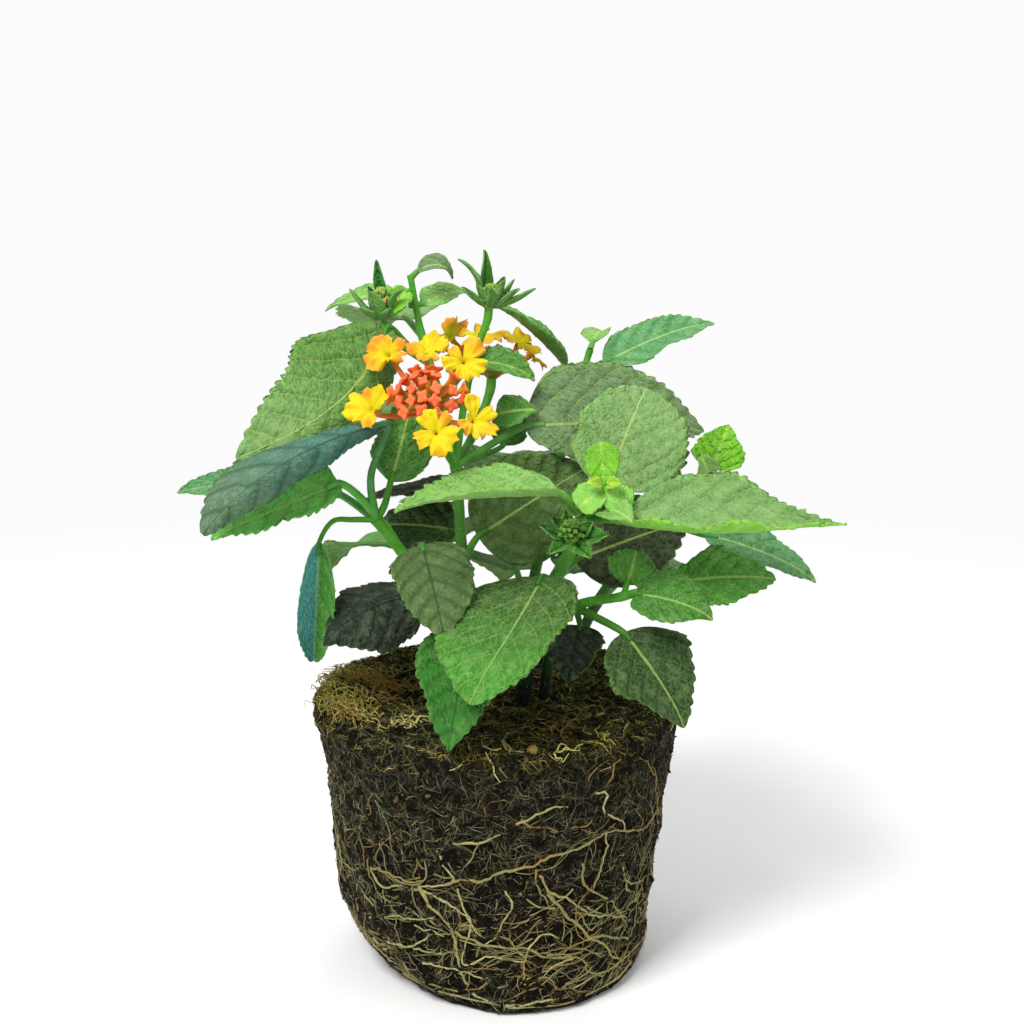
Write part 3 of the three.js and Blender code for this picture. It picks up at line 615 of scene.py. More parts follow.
def crumb_tree():
    """Scatters small lumps over a ground, as densely as its value 'cover' says."""
    tree, feed = start_tree("crumbs_on_ground", ["Density", "Radius"], ["Seed"])
    points = scattered(tree, feed, "cover")
    lump = wire(tree, "GeometryNodeMeshIcoSphere", {"Radius": 1.0, "Subdivisions": 1})
    turn = random_turn(tree, (0, 0, 0), (6.3, 6.3, 6.3))
    size = scaled(tree, random_vector(tree, (0.4, 0.4, 0.3), (1.3, 1.2, 0.8)), feed["Radius"])
    crumbs = planted(tree, points, lump, turn, size)
    return end_tree(tree, stored(tree, crumbs, "tint", chance(tree, 0.0, 1.0, 9)), feed["Material"])


TUBES = tube_tree()
STRANDS = strand_tree()
BRISTLES = bristle_tree()
CRUMBS = crumb_tree()


def grown(name, source, tree, **inputs):
    """Runs a geometry tree on an object and keeps the result as a plain mesh of its own."""
    modifier = source.modifiers.new(tree.name, "NODES")
    modifier.node_group = tree
    for socket in tree.interface.items_tree:
        if socket.in_out == "INPUT" and socket.name in inputs:
            modifier[socket.identifier] = inputs[socket.name]
    source.update_tag()
    bpy.context.view_layer.update()
    graph = bpy.context.evaluated_depsgraph_get()
    solved = source.evaluated_get(graph)
    mesh = bpy.data.meshes.new_from_object(solved, preserve_all_data_layers=True, depsgraph=graph)
    source.modifiers.remove(modifier)
    mesh.name = name
    mesh.materials.clear()
    mesh.materials.append(inputs["Material"])
    mesh.polygons.foreach_set("material_index", [0] * len(mesh.polygons))
    return add_object(name, mesh)


def tubes(name, paths, sides, material):
    """Makes tubes of paths; each path is (points, radii, colours)."""
    points = np.concatenate([path[0] for path in paths]) * MM
    radii = np.concatenate([path[1] for path in paths]) * MM
    tones = np.concatenate([path[2] for path in paths])
    edges, count = [], 0
    for path in paths:
        edges += [(count + k, count + k + 1) for k in range(len(path[0]) - 1)]
        count += len(path[0])
    mesh = bpy.data.meshes.new(name)
    mesh.from_pydata(points.tolist(), edges, [])
    mesh.attributes.new("thickness", "FLOAT", "POINT").data.foreach_set("value", radii)
    mesh.attributes.new("tone", "FLOAT_COLOR", "POINT").data.foreach_set("color", tones.ravel())
    mesh.attributes.new("hair", "FLOAT", "POINT").data.foreach_set("value", np.full(count, 0.6))
    source = add_object(name + "_paths", mesh)
    made = grown(name, source, TUBES, Sides=sides, Material=material)
    bpy.data.objects.remove(source)
    return made


def joined(name, parts):
    """Joins objects into the first of them."""
    bpy.context.view_layer.update()
    first = parts[0]
    with bpy.context.temp_override(object=first, active_object=first, selected_objects=parts,
                                   selected_editable_objects=parts):
        bpy.ops.object.join()
    first.name = name
    first.data.name = name
    return first


def dress(piece, slot, *nodes):
    """Fixes a finished piece to the body and hides the nodes that it stands for; its slot is not used."""
    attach(piece, BODY)
    if nodes:
        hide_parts(*nodes)


# ---------------------------------------------------------------- leaves and stems

LARGE_WIDTH = 34
PLAIN_WIDTH = 10.5
TOOTH_PITCH = 2.7
STEPS_PER_TOOTH = 5
HALF_COLUMNS = 9
TOOTH_HEIGHT = 0.85
BLADE_THICKNESS = 0.36
QUILT_DEPTH = 0.66
VEIN_PAIRS = 5.2
VEIN_SLANT = 0.8
PATTERN_STEP = 17.0
YOUNG_TONES = ("young", "bud", "lime")
# How much lighter than the leaf its veins are: 0 is darker, painted shade in their grooves, 1 is lightest
VEIN_LIGHTNESS = {
    "mid": 0.75, "meadow": 0.85, "soft": 0.75, "fresh": 0.8, "light": 0.85, "young": 0.8, "grey": 0.8,
    "fern": 0.75, "pine": 0.5, "teal": 0.8, "blue": 0.0, "dark": 0.12, "deep": 0.12, "bud": 0.7,
    "lime": 0.7, "pale": 0.3, "olive": 0.35, "shade": 0.8, "sage": 0.05, "silver": 0.9, "bright": 0.7,
}


def outline(s, rise, fall):
    """Half width along a blade, as a share of its widest: rise shapes its foot and fall its tip."""
    widest = rise / (rise + fall)
    return s ** rise * (1 - s) ** fall / (widest ** rise * (1 - widest) ** fall)


def leaf(start, base, tip, width, face, arch, fold, tone, via=None, petiole=1.0, bow=0.0,
         halves=(1.0, 1.0), shape=(0.55, 1.0), veins=None, quilt=1.0, teeth=1.0, waves=1.0, end=None):
    """One leaf's facts. Tone may name one tone for each half, and end names the tone towards the tip.

    Face is the way its upper side looks, arch and bow shift the midrib up and to the right in mm, and
    fold bends each half up in degrees. Via holds points of its stalk, petiole is the stalk's radius and
    shape the outline's rise and fall. Halves, veins, quilt, teeth and waves are shares.
    """
    tones = (tone, tone) if isinstance(tone, str) else tone
    veins = VEIN_LIGHTNESS[tones[0]] if veins is None else veins
    return {"start": start, "base": base, "tip": tip, "width": width, "face": face, "arch": arch,
            "fold": fold, "tones": tones, "via": via, "petiole": petiole, "bow": bow, "halves": halves,
            "shape": shape, "veins": veins, "quilt": quilt, "teeth": teeth, "waves": waves, "end": end}


def curve_place(base, crest, tip, s):
    """A place on the curve from base to tip that bends towards crest."""
    return (1 - s) ** 2 * base + 2 * s * (1 - s) * crest + s * s * tip


def blade_axes(row):
    """The three points of the blade's middle curve, and its sideways direction."""
    base, tip = np.array(row["base"], float), np.array(row["tip"], float)
    along = unit(tip - base)
    right = unit(np.cross(along, row["face"]))
    up = np.cross(right, along)
    crest = (base + tip) / 2 + 2 * row["arch"] * up + 2 * row["bow"] * right
    return base, crest, tip, right


def blade_curve(row, s, size):
    """Places along the midrib and, at each, the forward, sideways and outward directions."""
    base, crest, tip, right = blade_axes(row)
    forward = unit((1 - s) * (crest - base) + s * (tip - crest))
    sideways = unit(right - np.sum(right * forward, axis=1, keepdims=True) * forward)
    out = np.cross(sideways, forward)
    curl = 2.2 * min(1, size) * np.clip((s - 0.72) / 0.28, 0, 1) ** 2
    return curve_place(base, crest, tip, s) - out * curl, forward, sideways, out


def blade_margin(row, s, size, count, left_side, dice):
    """The reach of both halves, and how far their teeth stand out at the margin."""
    reach = row["width"] / 2 * outline(s, *row["shape"]) * np.where(left_side, *row["halves"])
    for half in (left_side, ~left_side):
        uneven = (0.05 * np.sin(dice.uniform(7, 11) * s + dice.uniform(0, 6))
                  + 0.035 * np.sin(dice.uniform(15, 23) * s + dice.uniform(0, 6)))
        reach = reach * (1 + uneven * half)
    # The teeth of the two margins start at different places.
    drift = np.where(left_side, dice.uniform(0, 1), dice.uniform(0, 1))
    phase = s * count + drift + 0.22 * np.sin(9 * s + drift * 6)
    step = phase % 1
    tooth = np.where(step < 0.72, np.sin(step / 0.72 * math.pi / 2) ** 0.8, (1 - step) / 0.28)
    height = TOOTH_HEIGHT * row["teeth"] * min(1, size) ** 0.6
    height = height * np.minimum(1, s / 0.12) * np.minimum(1, (1 - s) / 0.06)
    jitter = np.array([0.55 + 0.9 * dice.random() for _ in range(count + 4)])
    return reach, (tooth - 0.6) * height * jitter[phase.astype(int)]


def folded_profile(folds, v):
    """A blade's cross-section for a reach of one, with each half bent up by its own fold."""
    halves = []
    for fold in folds:
        turn = np.radians(fold) * (0.6 + 0.8 * v)
        turn = (turn[1:] + turn[:-1]) / 2
        halves.append([np.concatenate([[0], np.cumsum(part * np.diff(v))])
                       for part in (np.cos(turn), np.sin(turn))])
    (left_x, left_z), (right_x, right_z) = halves
    return np.concatenate([-left_x[:0:-1], right_x]), np.concatenate([left_z[:0:-1], right_z])


def blade_relief(row, s, size, length, distance, across, dice):
    """The lanes between the side veins, and how high the upper side stands over the sheet."""
    away = np.abs(across)
    left_side = across < 0
    spacing = length * 0.82 / (VEIN_PAIRS * (0.5 + 0.5 * min(1, length / 40)))
    starts = np.where(left_side, dice.uniform(0.3, 0.7), dice.uniform(0.3, 0.7))
    lane = (s * length - VEIN_SLANT * distance * (1 + 0.35 * away ** 2)) / spacing + starts
    if row["width"] < PLAIN_WIDTH:
        lane = 0.5 + 0 * lane
    dome = np.sin(math.pi * (lane % 1)) ** 0.8 - 0.6
    puff = 0.55 + 0.75 * away ** 1.5
    quilt = QUILT_DEPTH * row["quilt"] * min(1, size) * dome * puff
    quilt = quilt * np.clip(distance / 3, 0, 1) * (1 - away ** 7)
    bump = np.sin(0.9 * s * length + 3 * dice.random()) * np.sin(1.1 * distance + 3 * dice.random())
    quilt = quilt + 0.16 * row["quilt"] * min(1, size) * bump * np.clip(distance / 2, 0, 1)
    pace = dice.uniform(1.6, 2.6) * length / 40
    ripple = np.sin(math.tau * pace * s + np.where(left_side, dice.uniform(0, 6), dice.uniform(0, 6)))
    ripple = 1.5 * row["waves"] * size * ripple * away ** 2.2 * np.minimum(1, 4 * s * (1 - s))
    groove = -0.25 * np.exp(-(distance / 0.6) ** 2)
    return lane, quilt + ripple + groove + BLADE_THICKNESS / 2


def blade_tone(row, s, side, away, dice):
    """Colours over a blade: its halves' tones, the tone of its end, and a fresher rim."""
    left_tone, right_tone = (np.array(LEAF_TONES[tone]) for tone in row["tones"])
    tone = mixed(left_tone, right_tone, np.clip(0.5 + side / 1.6, 0, 1)) * (0.94 + 0.12 * dice.random())
    if row["end"]:
        tone = mixed(tone, LEAF_TONES[row["end"]], np.clip((s - 0.35) / 0.5, 0, 1))
    rim = np.clip((away - 0.72) / 0.28, 0, 1) * 0.4
    tone = mixed(tone, tone * np.array([0.72, 1.12, 0.5, 1.0]), rim)
    return mixed(tone, RIM_TONE, 0.3 * (away > 0.99))


def blade_faces(rows, columns):
    """Faces of a blade's upper side, underside and two ends, and a finish number for each."""
    upper = np.arange(rows * columns).reshape(rows, columns)
    inner = upper.size + np.arange(rows * (columns - 2)).reshape(rows, columns - 2)
    lower = np.concatenate([upper[:, :1], inner, upper[:, -1:]], axis=1)
    faces = grid_faces(upper)
    under = [face[::-1] for face in grid_faces(lower)]
    under.append(upper[0].tolist()[::-1] + inner[0].tolist())
    under.append(upper[-1].tolist() + inner[-1].tolist()[::-1])
    return faces + under, [0] * len(faces) + [1] * len(under)


def both_sides(upper, lower):
    """One row for each point of the upper side, then for each point of the underside inside its margin."""
    tables = [side.reshape(*side.shape[:2], -1) for side in (upper, lower[:, 1:-1])]
    return np.concatenate([table.reshape(-1, table.shape[2]) for table in tables])


def blade(skin, row, seed):
    """One blade: a closed thin sheet with toothed margins, folded on its midrib and quilted by its veins."""
    dice = random.Random(seed)
    length = np.linalg.norm(np.subtract(row["tip"], row["base"]))
    size = row["width"] / LARGE_WIDTH
    count = max(6, round(length / (TOOTH_PITCH * (0.75 + 0.25 * min(1, size)))))
    rows = count * (STEPS_PER_TOOTH if length > 15 else 3) + 1
    s = np.linspace(0.004, 0.996, rows)[:, None]
    columns = HALF_COLUMNS if row["width"] > 13 else 5
    v = np.linspace(0, 1, columns + 1) ** 0.9
    across = np.concatenate([-v[:0:-1], v])
    away = np.abs(across)
    middle, forward, sideways, out = blade_curve(row, s, size)
    reach, tooth = blade_margin(row, s, size, count, across < 0, dice)
    tooth = tooth * away ** 6
    spread = reach + tooth
    profile_x, profile_z = folded_profile(row["fold"], v)
    sheet = middle[:, None] + spread[..., None] * (
        profile_x[:, None] * sideways[:, None] + profile_z[:, None] * out[:, None])
    sheet = sheet + tooth[..., None] * 0.7 * forward[:, None]
    normal = unit(np.cross(np.gradient(sheet, axis=1), np.gradient(sheet, axis=0)))
    distance = spread * away
    side = distance * np.sign(across)
    lane, relief = blade_relief(row, s, size, length, distance, across, dice)
    top = sheet + normal * relief[..., None]
    rib = 0.45 * np.exp(-(distance / 0.7) ** 2) * (1.1 - s) * min(1, size + 0.3)
    vein = 0.16 * np.exp(-(np.abs(lane - np.round(lane)) / 0.09) ** 2)
    back = top - normal * (BLADE_THICKNESS + rib + vein)[..., None]
    place = np.stack(np.broadcast_arrays(side, s * length, PATTERN_STEP * (seed % 97)), -1)
    tone = blade_tone(row, s, side, away, dice)
    furry = 2.4 if row["tones"][0] in YOUNG_TONES else 0.0
    hair = (0.03 + 1.2 * away ** 9 + furry) * np.ones_like(distance)
    veins = np.full_like(distance, row["veins"])
    skin.add(both_sides(top, back), *blade_faces(rows, len(across)),
             leaf_mm=both_sides(place, place), lane=both_sides(lane, lane), hair=both_sides(hair, hair),
             tone=both_sides(tone, tone), veins=both_sides(veins, veins))


def petiole_path(row):
    """The stalk from the stem to the blade, running on a little way under the midrib."""
    base, crest, tip, _ = blade_axes(row)
    bends = row["via"] or []
    points = [row["start"]] + (bends if isinstance(bends, list) else [bends])
    places, marks = smooth_path(points + [base, curve_place(base, crest, tip, 0.1)], 1.0)
    radii = row["petiole"] * (1.15 - 0.45 * marks - 0.75 * np.clip(marks - 0.8, 0, 1))
    tone = mixed(PALE_STEM_TONE, LEAF_TONES[row["tones"][0]], 0.2 + 0.4 * marks)
    return places, radii, tone


def stem_path(points, thick, thin, shaded_foot=True):
    """A stem that tapers and swells a little where its leaves sit; its foot may be painted dark with the
    shade inside the plant.
    """
    places, marks = smooth_path(points, 1.0)
    radii = thick + (thin - thick) * marks
    for knot in points[1:]:
        near = np.linalg.norm(places - np.array(knot, float), axis=1)
        radii = radii * (1 + 0.16 * np.exp(-(near / 1.8) ** 2))
    # Painted shade: the foot takes the deep tone, fading to the pale stem tone higher up.
    unshaded_share = np.clip(2.3 * marks - 0.25, 0, 1) if shaded_foot else np.ones_like(marks)
    tone = mixed(LEAF_TONES["deep"], PALE_STEM_TONE, unshaded_share)
    return places, radii, tone


STEM_FOOT_Z = 60

STEMS = {
    "stem_main": {
        "foot": (0, 0), "thick": 2.0, "thin": 0.8,
        "through": [(-4, 0, 92), (-9, 0, 114), (-11, 2, 140), (-15, 5, 158), (-20, 8, 175), (-23, 10, 191)],
        "stalks": [
            ([(-11, 2, 140), (-14, -7, 148)], 1.2, "front_head"),
            ([(-11, 2, 140), (-6, 15, 147)], 1.2, "rear_head"),
            ([(-18, 7, 167), (-26, 5, 173)], 0.7, "bud_head_left"),
            ([(-11, 2, 140), (-8, 3, 160), (-5, 4, 172)], 1.0, "bud_head_top"),
        ],
        "leaves": [
            leaf((-18.5, 7, 169), (-28.5, 3, 178), (-66, -28, 149), 34, (1, -7, 6), 2, (-30, 5), "meadow",
                 (-23, 7, 172), 0.7, bow=-8, halves=(0.5, 1.06), shape=(0.5, 0.8), waves=0.5, quilt=1.3,
                 end="soft"),
            leaf((-11, 2, 140), (8, 2, 151), (58.6, 8, 149), 34, (0, -9, 5), 4, (0, 0), "grey",
                 halves=(1.1, 0.6), waves=0.6),
            leaf((-11, 2, 140), (-20, 16, 150), (-48, 44, 142), 32, (-2, 2, 9), 5, (8, 8), "mid"),
            leaf((-20, 8, 175), (-24, 17, 178), (-38, 54, 168), 30, (-1, 1, 9), 5, (10, 10), "mid"),
            leaf((-9, 0, 114), (-11, 6, 121), (-34, 12, 121), 18, (0, -7, 6), 2, (5, 5), "pine"),
            leaf((-9, 0, 114), (-5, -1, 121), (26, 0, 141), 30, (3, -8, 5), 2, (6, 6), "olive", quilt=1.9),
            leaf((-11, 2, 140), (-4, 12, 131), (-38, 16, 128), 16, (0, -1, 6), 2, (0, 0), "dark"),
            leaf((-15, 5, 158), (-6, 5, 168), (11, 1, 164), 12, (0, -5, 8), 2, (15, 15), ("fern", "fresh")),
            leaf((-15, 5, 158), (0, 3, 154), (11, 0, 156), 10, (0, -8, 5), 1, (5, 5), "fern", petiole=0.8),
            leaf((-11, 2, 140), (2, 6, 145), (5, 10, 158), 11, (2, -9, 0), 1, (10, 10), "fern", petiole=0.8),
            leaf((-23, 9, 185), (-27, 11, 186), (-47, 14, 181.5), 9, (0, -3, 8), 1, (15, 15), "light",
                 petiole=0.8),
            leaf((-23, 10, 190), (-21, 10, 192), (-11, 12, 190), 9, (0, -4, 8), 3, (15, 15), "grey",
                 petiole=0.8),
            leaf((-23, 9, 183), (-20, 12, 183), (-8, 20, 186), 10, (0, -5, 8), 1, (10, 10), "light",
                 petiole=0.8),
            leaf((-23, 9, 187), (-23.5, 8.5, 187), (-29.5, 5, 181), 7.5, (2, -7, 5), 1, (24, 24), "young",
                 petiole=0.6, shape=(0.5, 0.6)),
        ],
    },
    "shoot_left": {
        "foot": (-7, -4), "thick": 1.9, "thin": 1.4, "stalks": [],
        "through": [(-13, -5, 92), (-24, -7, 116), (-32, -10, 128)],
        "leaves": [
            leaf((-13, -5, 92), (-41, -15, 139), (-72, -32, 129), 26, (1, -7, 7), 0, (8, 8), "bright",
                 (-30, -8, 126), 1.2, halves=(0.45, 1.2), shape=(0.35, 0.8), teeth=1.5),
            leaf((-32, -10, 128), (-28, -14, 154.5), (-73, -43, 133), 30, (0, -4, 8), 6, (-80, -12), "blue",
                 (-33, -11, 140), halves=(0.5, 0.92), shape=(0.75, 0.62), quilt=0.25, waves=0.4, end="ash"),
            leaf((-32, -10, 128), (-53, 0, 137), (-85, -8, 136), 17, (0, -5, 9), 0, (5, 5), "teal",
                 (-42, -2, 133)),
            leaf((-32, -10, 128), (-46.6, -16, 123.2), (-49.5, -12, 88.5), 17, (1, -9, 0), 1, (55, 55),
                 ("fresh", "azure"), [(-38.2, -12, 128.5), (-43, -14, 128.6)], 0.75, quilt=0.3, waves=0.4,
                 shape=(0.5, 0.6)),
            leaf((-32, -10, 128), (-28, -8, 138), (-22, -2, 163), 18, (3, -9, 1), 2, (-50, 0), "fern",
                 (-30, -8, 131)),
        ],
    },
    "shoot_low_left": {
        "foot": (-2, -8), "thick": 1.7, "thin": 1.2, "stalks": [],
        "through": [(-6, -11, 90), (-12, -13, 104), (-16, -13, 114)],
        "leaves": [
            leaf((-16, -13, 114), (-19.5, -16, 122.5), (-13, -40, 105), 23, (0, -7, 6), 2, (4, 4), "sage",
                 halves=(1.02, 0.86), shape=(0.5, 0.8)),
            leaf((-12, -13, 104), (-20, -12, 108), (-46, -26, 99), 26, (0, -3, 9), 3, (-50, -5), "deep",
                 quilt=0.5),
            leaf((-6, -11, 90), (-6, -24, 103), (-12, -54, 80), 24, (0, -6, 8), 3, (5, 5), "fern", veins=0.1),
        ],
    },
    "shoot_right": {
        "foot": (6, -6), "thick": 2.4, "thin": 0.9,
        "through": [(9, -11, 92), (15, -20, 113), (20, -25, 125), (22, -27, 132), (26, -28, 139),
                    (27, -28, 145)],
        "stalks": [([(20, -25, 125), (20, -29, 125)], 1.4, "bud_head_right")],
        "leaves": [
            leaf((15, -20, 113), (12, -24, 116), (-7.5, -58, 94.5), 33, (-3, -4, 9), 3, (4, 4), "shade",
                 bow=-3, halves=(0.92, 1.4), shape=(0.54, 0.7), end="fresh", quilt=1.3),
            leaf((15, -20, 113), (21, -15, 118), (53, -2, 126), 26, (2, -8, 5), 2, (6, 6), "dark",
                 veins=0.42),
            leaf((22, -27, 132), (16, -32, 140), (-25, -46, 140), 25, (0, -3, 9), 1, (42, 12),
                 "light", halves=(0.5, 0.9), shape=(0.45, 1.0), waves=0.4),
            leaf((22, -27, 132), (30, -32, 133), (85, -46, 137), 30, (0, -3, 9), -3.6, (24, 40),
                 ("soft", "young"), shape=(0.95, 1.7), halves=(1.25, 0.74), waves=1.1, quilt=1.3),
            leaf((22, -27, 132), (29, -12, 137), (41, 3, 162.5), 29, (-1, -9, 4), 3, (6, 6), "silver",
                 halves=(0.95, 1.25), shape=(0.55, 0.8)),
            leaf((26, -28, 139), (27.2, -30, 141.9), (26.3, -31, 152.4), 9.6, (0, -8, -2), -1, (12, 12),
                 "young", petiole=0.7, shape=(0.5, 0.3), teeth=0.7),
            leaf((26, -28, 139), (27.8, -30, 140.3), (33.2, -32, 135.4), 9, (3, -8, 4), 0.6, (10, 10),
                 "bud", petiole=0.7, shape=(0.45, 0.4), teeth=0.7),
            leaf((26, -28, 139), (26.7, -30, 140.3), (20.6, -32, 136), 9, (-3, -8, 4), 0.6, (10, 10),
                 "bud", petiole=0.7, shape=(0.45, 0.4), teeth=0.7),
            leaf((26, -28, 139), (26.4, -30.5, 141.2), (23.0, -33, 143), 4, (1, -7, 6), 0.5, (30, 30),
                 "lime", petiole=0.5, shape=(0.5, 0.5)),
            leaf((26, -28, 139), (28, -30.5, 141.2), (31.2, -33, 142.8), 4, (-1, -7, 6), 0.5, (30, 30),
                 "lime", petiole=0.5, shape=(0.5, 0.5)),
            leaf((22, -27, 132), (27, -31, 136), (34, -38, 134), 10, (0, -5, 8), 1, (10, 10), "light",
                 petiole=0.8),
        ],
    },
    "shoot_side": {
        "foot": (12, -3), "thick": 1.7, "thin": 0.8, "stalks": [],
        "through": [(15, -10, 92), (21, -18, 106), (33, -25, 111), (45, -25, 115), (49, -24, 119)],
        "leaves": [
            leaf((33, -25, 111), (36, -27, 112), (55, -38, 109), 18, (0, -6, 8), 2, (10, 10), "fern",
                 petiole=0.8),
            leaf((33, -25, 111), (34, -24, 114), (37, -18, 122), 14, (0, -9, 2), 1, (10, 10), "fresh",
                 petiole=0.8),
            leaf((45, -25, 115), (48, -25, 115), (73, -26, 116), 16, (0, -8, 6), 2, (6, 6), "fresh",
                 petiole=0.8),
            leaf((21, -18, 106), (33, -28, 102), (48, -44, 82), 24, (2, -7, 6), 2, (4, 4), "pine"),
            leaf((21, -18, 106), (22, -22, 102), (18, -38, 92), 15, (0, -4, 9), 1, (5, 5), "deep",
                 petiole=0.8),
        ],
    },
    "shoot_far_right": {
        "foot": (13, 5), "thick": 1.7, "thin": 0.8, "stalks": [],
        "through": [(28, 5, 100), (46, 5, 124), (56, -8, 139), (57, -10, 143)],
        "leaves": [
            leaf((56, -8, 139), (57, -11, 142), (61, -12, 154), 14, (0, -9, 3), 1, (10, 10), "young",
                 petiole=0.8),
            leaf((56, -8, 139), (56, -12, 140), (53, -17, 147), 8, (0, -8, 3), 1, (10, 10), "light",
                 petiole=0.8),
            leaf((46, 5, 124), (57, -4, 122), (86, -14, 112), 15, (2, -5, 8), 2, (5, 5), "teal"),
            leaf((28, 5, 100), (38, 10, 108), (68, 28, 98), 28, (1, 1, 9), 4, (8, 8), "mid"),
        ],
    },
    "shoot_back": {
        "foot": (4, 9), "thick": 1.9, "thin": 0.9, "stalks": [],
        "through": [(9, 15, 95), (16, 23, 126), (22, 28, 152), (27, 31, 168)],
        "leaves": [
            leaf((22, 28, 154), (20, 29, 164), (0, 26, 182), 14, (-3, -2, 9), 1, (40, 10), "fresh",
                 petiole=0.8),
            leaf((22, 28, 154), (31, 31, 164), (63, 34, 176), 16, (0, -5, 8), 2, (10, 10), "pale",
                 petiole=0.8),
            leaf((27, 31, 168), (28, 34, 170), (32, 44, 172), 9, (0, 1, 9), 1, (15, 15), "light",
                 petiole=0.8),
            leaf((16, 23, 126), (24, 28, 134), (56, 42, 130), 30, (0, 2, 9), 5, (8, 8), "mid"),
            leaf((16, 23, 126), (12, 32, 134), (-8, 64, 124), 30, (0, 2, 9), 5, (8, 8), "grey"),
            leaf((9, 15, 95), (20, 24, 104), (48, 46, 90), 32, (2, 2, 9), 5, (8, 8), "fresh"),
            leaf((9, 15, 95), (6, 26, 104), (2, 60, 92), 30, (0, 2, 9), 5, (8, 8), "mid"),
        ],
    },
    "shoot_rear_left": {
        "foot": (-6, 7), "thick": 1.7, "thin": 0.9, "stalks": [],
        "through": [(-11, 14, 92), (-16, 20, 106), (-19, 24, 115)],
        "leaves": [
            leaf((-16, 20, 106), (-24, 24, 111), (-52, 45, 100), 30, (-1, 1, 9), 5, (8, 8), "fresh"),
            leaf((-16, 20, 106), (-15, 30, 111), (-20, 64, 102), 30, (-1, 2, 9), 5, (8, 8), "mid"),
            leaf((-11, 14, 92), (-19, 17, 98), (-46, 32, 88), 26, (-1, 1, 9), 4, (8, 8), "dark"),
            leaf((-19, 24, 115), (-21, 26, 118), (-28, 32, 124), 10, (-5, 5, 5), 1, (15, 15), "light",
                 petiole=0.8),
            leaf((-19, 24, 115), (-17, 26, 118), (-11, 31, 123), 9, (5, 5, 5), 1, (15, 15), "light",
                 petiole=0.8),
        ],
    },
}

HEADS = {
    "front_head": {"place": (-17, -16.5, 157), "axis": (0, -0.56, 0.83)},
    "rear_head": {"place": (-1.2, 25.3, 160.6), "axis": (0.1, 0.35, 0.93)},
    "bud_head_left": {"place": (-30.2, 5, 181.6), "axis": (-1, 0, 9)},
    "bud_head_top": {"place": (-1.8, 5, 182.7), "axis": (1, 0, 9)},
    "bud_head_right": {"place": (18.9, -33.6, 128.5), "axis": (0, -6, 8)},
}
STRAIGHT_END = 3


def stalk_points(points, head):
    """A flower stalk's points: its last stretch runs straight along the head's axis."""
    place = np.array(HEADS[head]["place"], float)
    axis = unit(HEADS[head]["axis"])
    return points + [tuple(place - STRAIGHT_END * axis), tuple(place)]


def furred(name, body, seed, **inputs):
    """Grows fine hairs on a piece and joins them to it."""
    hairs = grown(name + "_hairs", body, BRISTLES, Length=0.8 * MM, Seed=seed, Material=HAIR, **inputs)
    return joined(name, [body, hairs])


def leafy_stem(name, facts, seed):
    """A stem with its petioles, flower stalks and leaves, as one piece."""
    foot = facts["foot"] + (STEM_FOOT_Z,)
    paths = [stem_path([foot] + facts["through"], facts["thick"], facts["thin"])]
    for points, radius, head in facts["stalks"]:
        paths.append(stem_path(stalk_points(points, head), radius, radius, shaded_foot=False))
    paths += [petiole_path(row) for row in facts["leaves"]]
    stalks = tubes(name + "_stalks", paths, 12, STEM_SKIN)
    skin = Skin()
    for number, row in enumerate(facts["leaves"]):
        blade(skin, row, seed * 40 + number)
    blades = skin.build(name + "_blades", [LEAF_TOP, LEAF_BACK])
    body = joined(name + "_body", [blades, stalks])
    return furred(name + "_leafy", body, seed, Density=6e5, Thickness=0.05 * MM)


# ---------------------------------------------------------------- flowers


def head_frame(head):
    """A head's place and the turn that brings +Z onto its axis."""
    turn = Vector((0, 0, 1)).rotation_difference(Vector(HEADS[head]["axis"]).normalized())
    return np.array(HEADS[head]["place"], float), np.array(turn.to_matrix())


def facing_axes(facing):
    """Rightward, upward and outward directions of something that looks along facing."""
    facing = unit(facing)
    rightward = unit(np.array([1, 0, 0]) - facing[0] * facing)
    return rightward, np.cross(facing, rightward), facing


def round_about(angle, first, second):
    """Directions at angles from the first of two crossed directions towards the second."""
    return np.cos(angle)[:, None] * first + np.sin(angle)[:, None] * second


def leaning(bearing, lean):
    """The direction at a bearing round +Z that leans away from +Z."""
    return np.array([math.sin(lean) * math.cos(bearing), math.sin(lean) * math.sin(bearing), math.cos(lean)])


FLORET_SIDES = 88
FLORET_ROWS = 14
PETAL_THICKNESS = 0.26
PETAL_FOOT = 0.36
THROAT_RADIUS = 0.5
TUBE_RADIUS = 0.62


def lobed_rim(lobes, angle, dice):
    """The petals' reach at each angle, how they lift, twist, roll and blush, and how near a petal is."""
    reach = np.full_like(angle, PETAL_FOOT)
    lift, twist, roll, tint_share, crown = np.zeros((5, FLORET_SIDES))
    for middle, half, length, rise, warmth in lobes:
        gap = (angle - math.radians(middle) + math.pi) % math.tau - math.pi
        place = gap / math.radians(half * 1.2)
        near = np.clip(1 - np.abs(place) ** 3.4, 0, 1)
        notch = 0.13 * np.exp(-((place - dice.uniform(-0.25, 0.25)) / 0.2) ** 2) * dice.uniform(0.2, 1)
        reach = np.maximum(reach, PETAL_FOOT + (length - PETAL_FOOT) * near ** 0.55 - notch)
        lift += rise * near
        twist += dice.uniform(-0.9, 0.9) * place * near
        roll += np.abs(place) ** 2.5 * near * dice.uniform(0.5, 1.3)
        tint_share = np.maximum(tint_share, warmth * near)
        crown = np.maximum(crown, near)
    return reach, lift, twist, roll, tint_share, crown


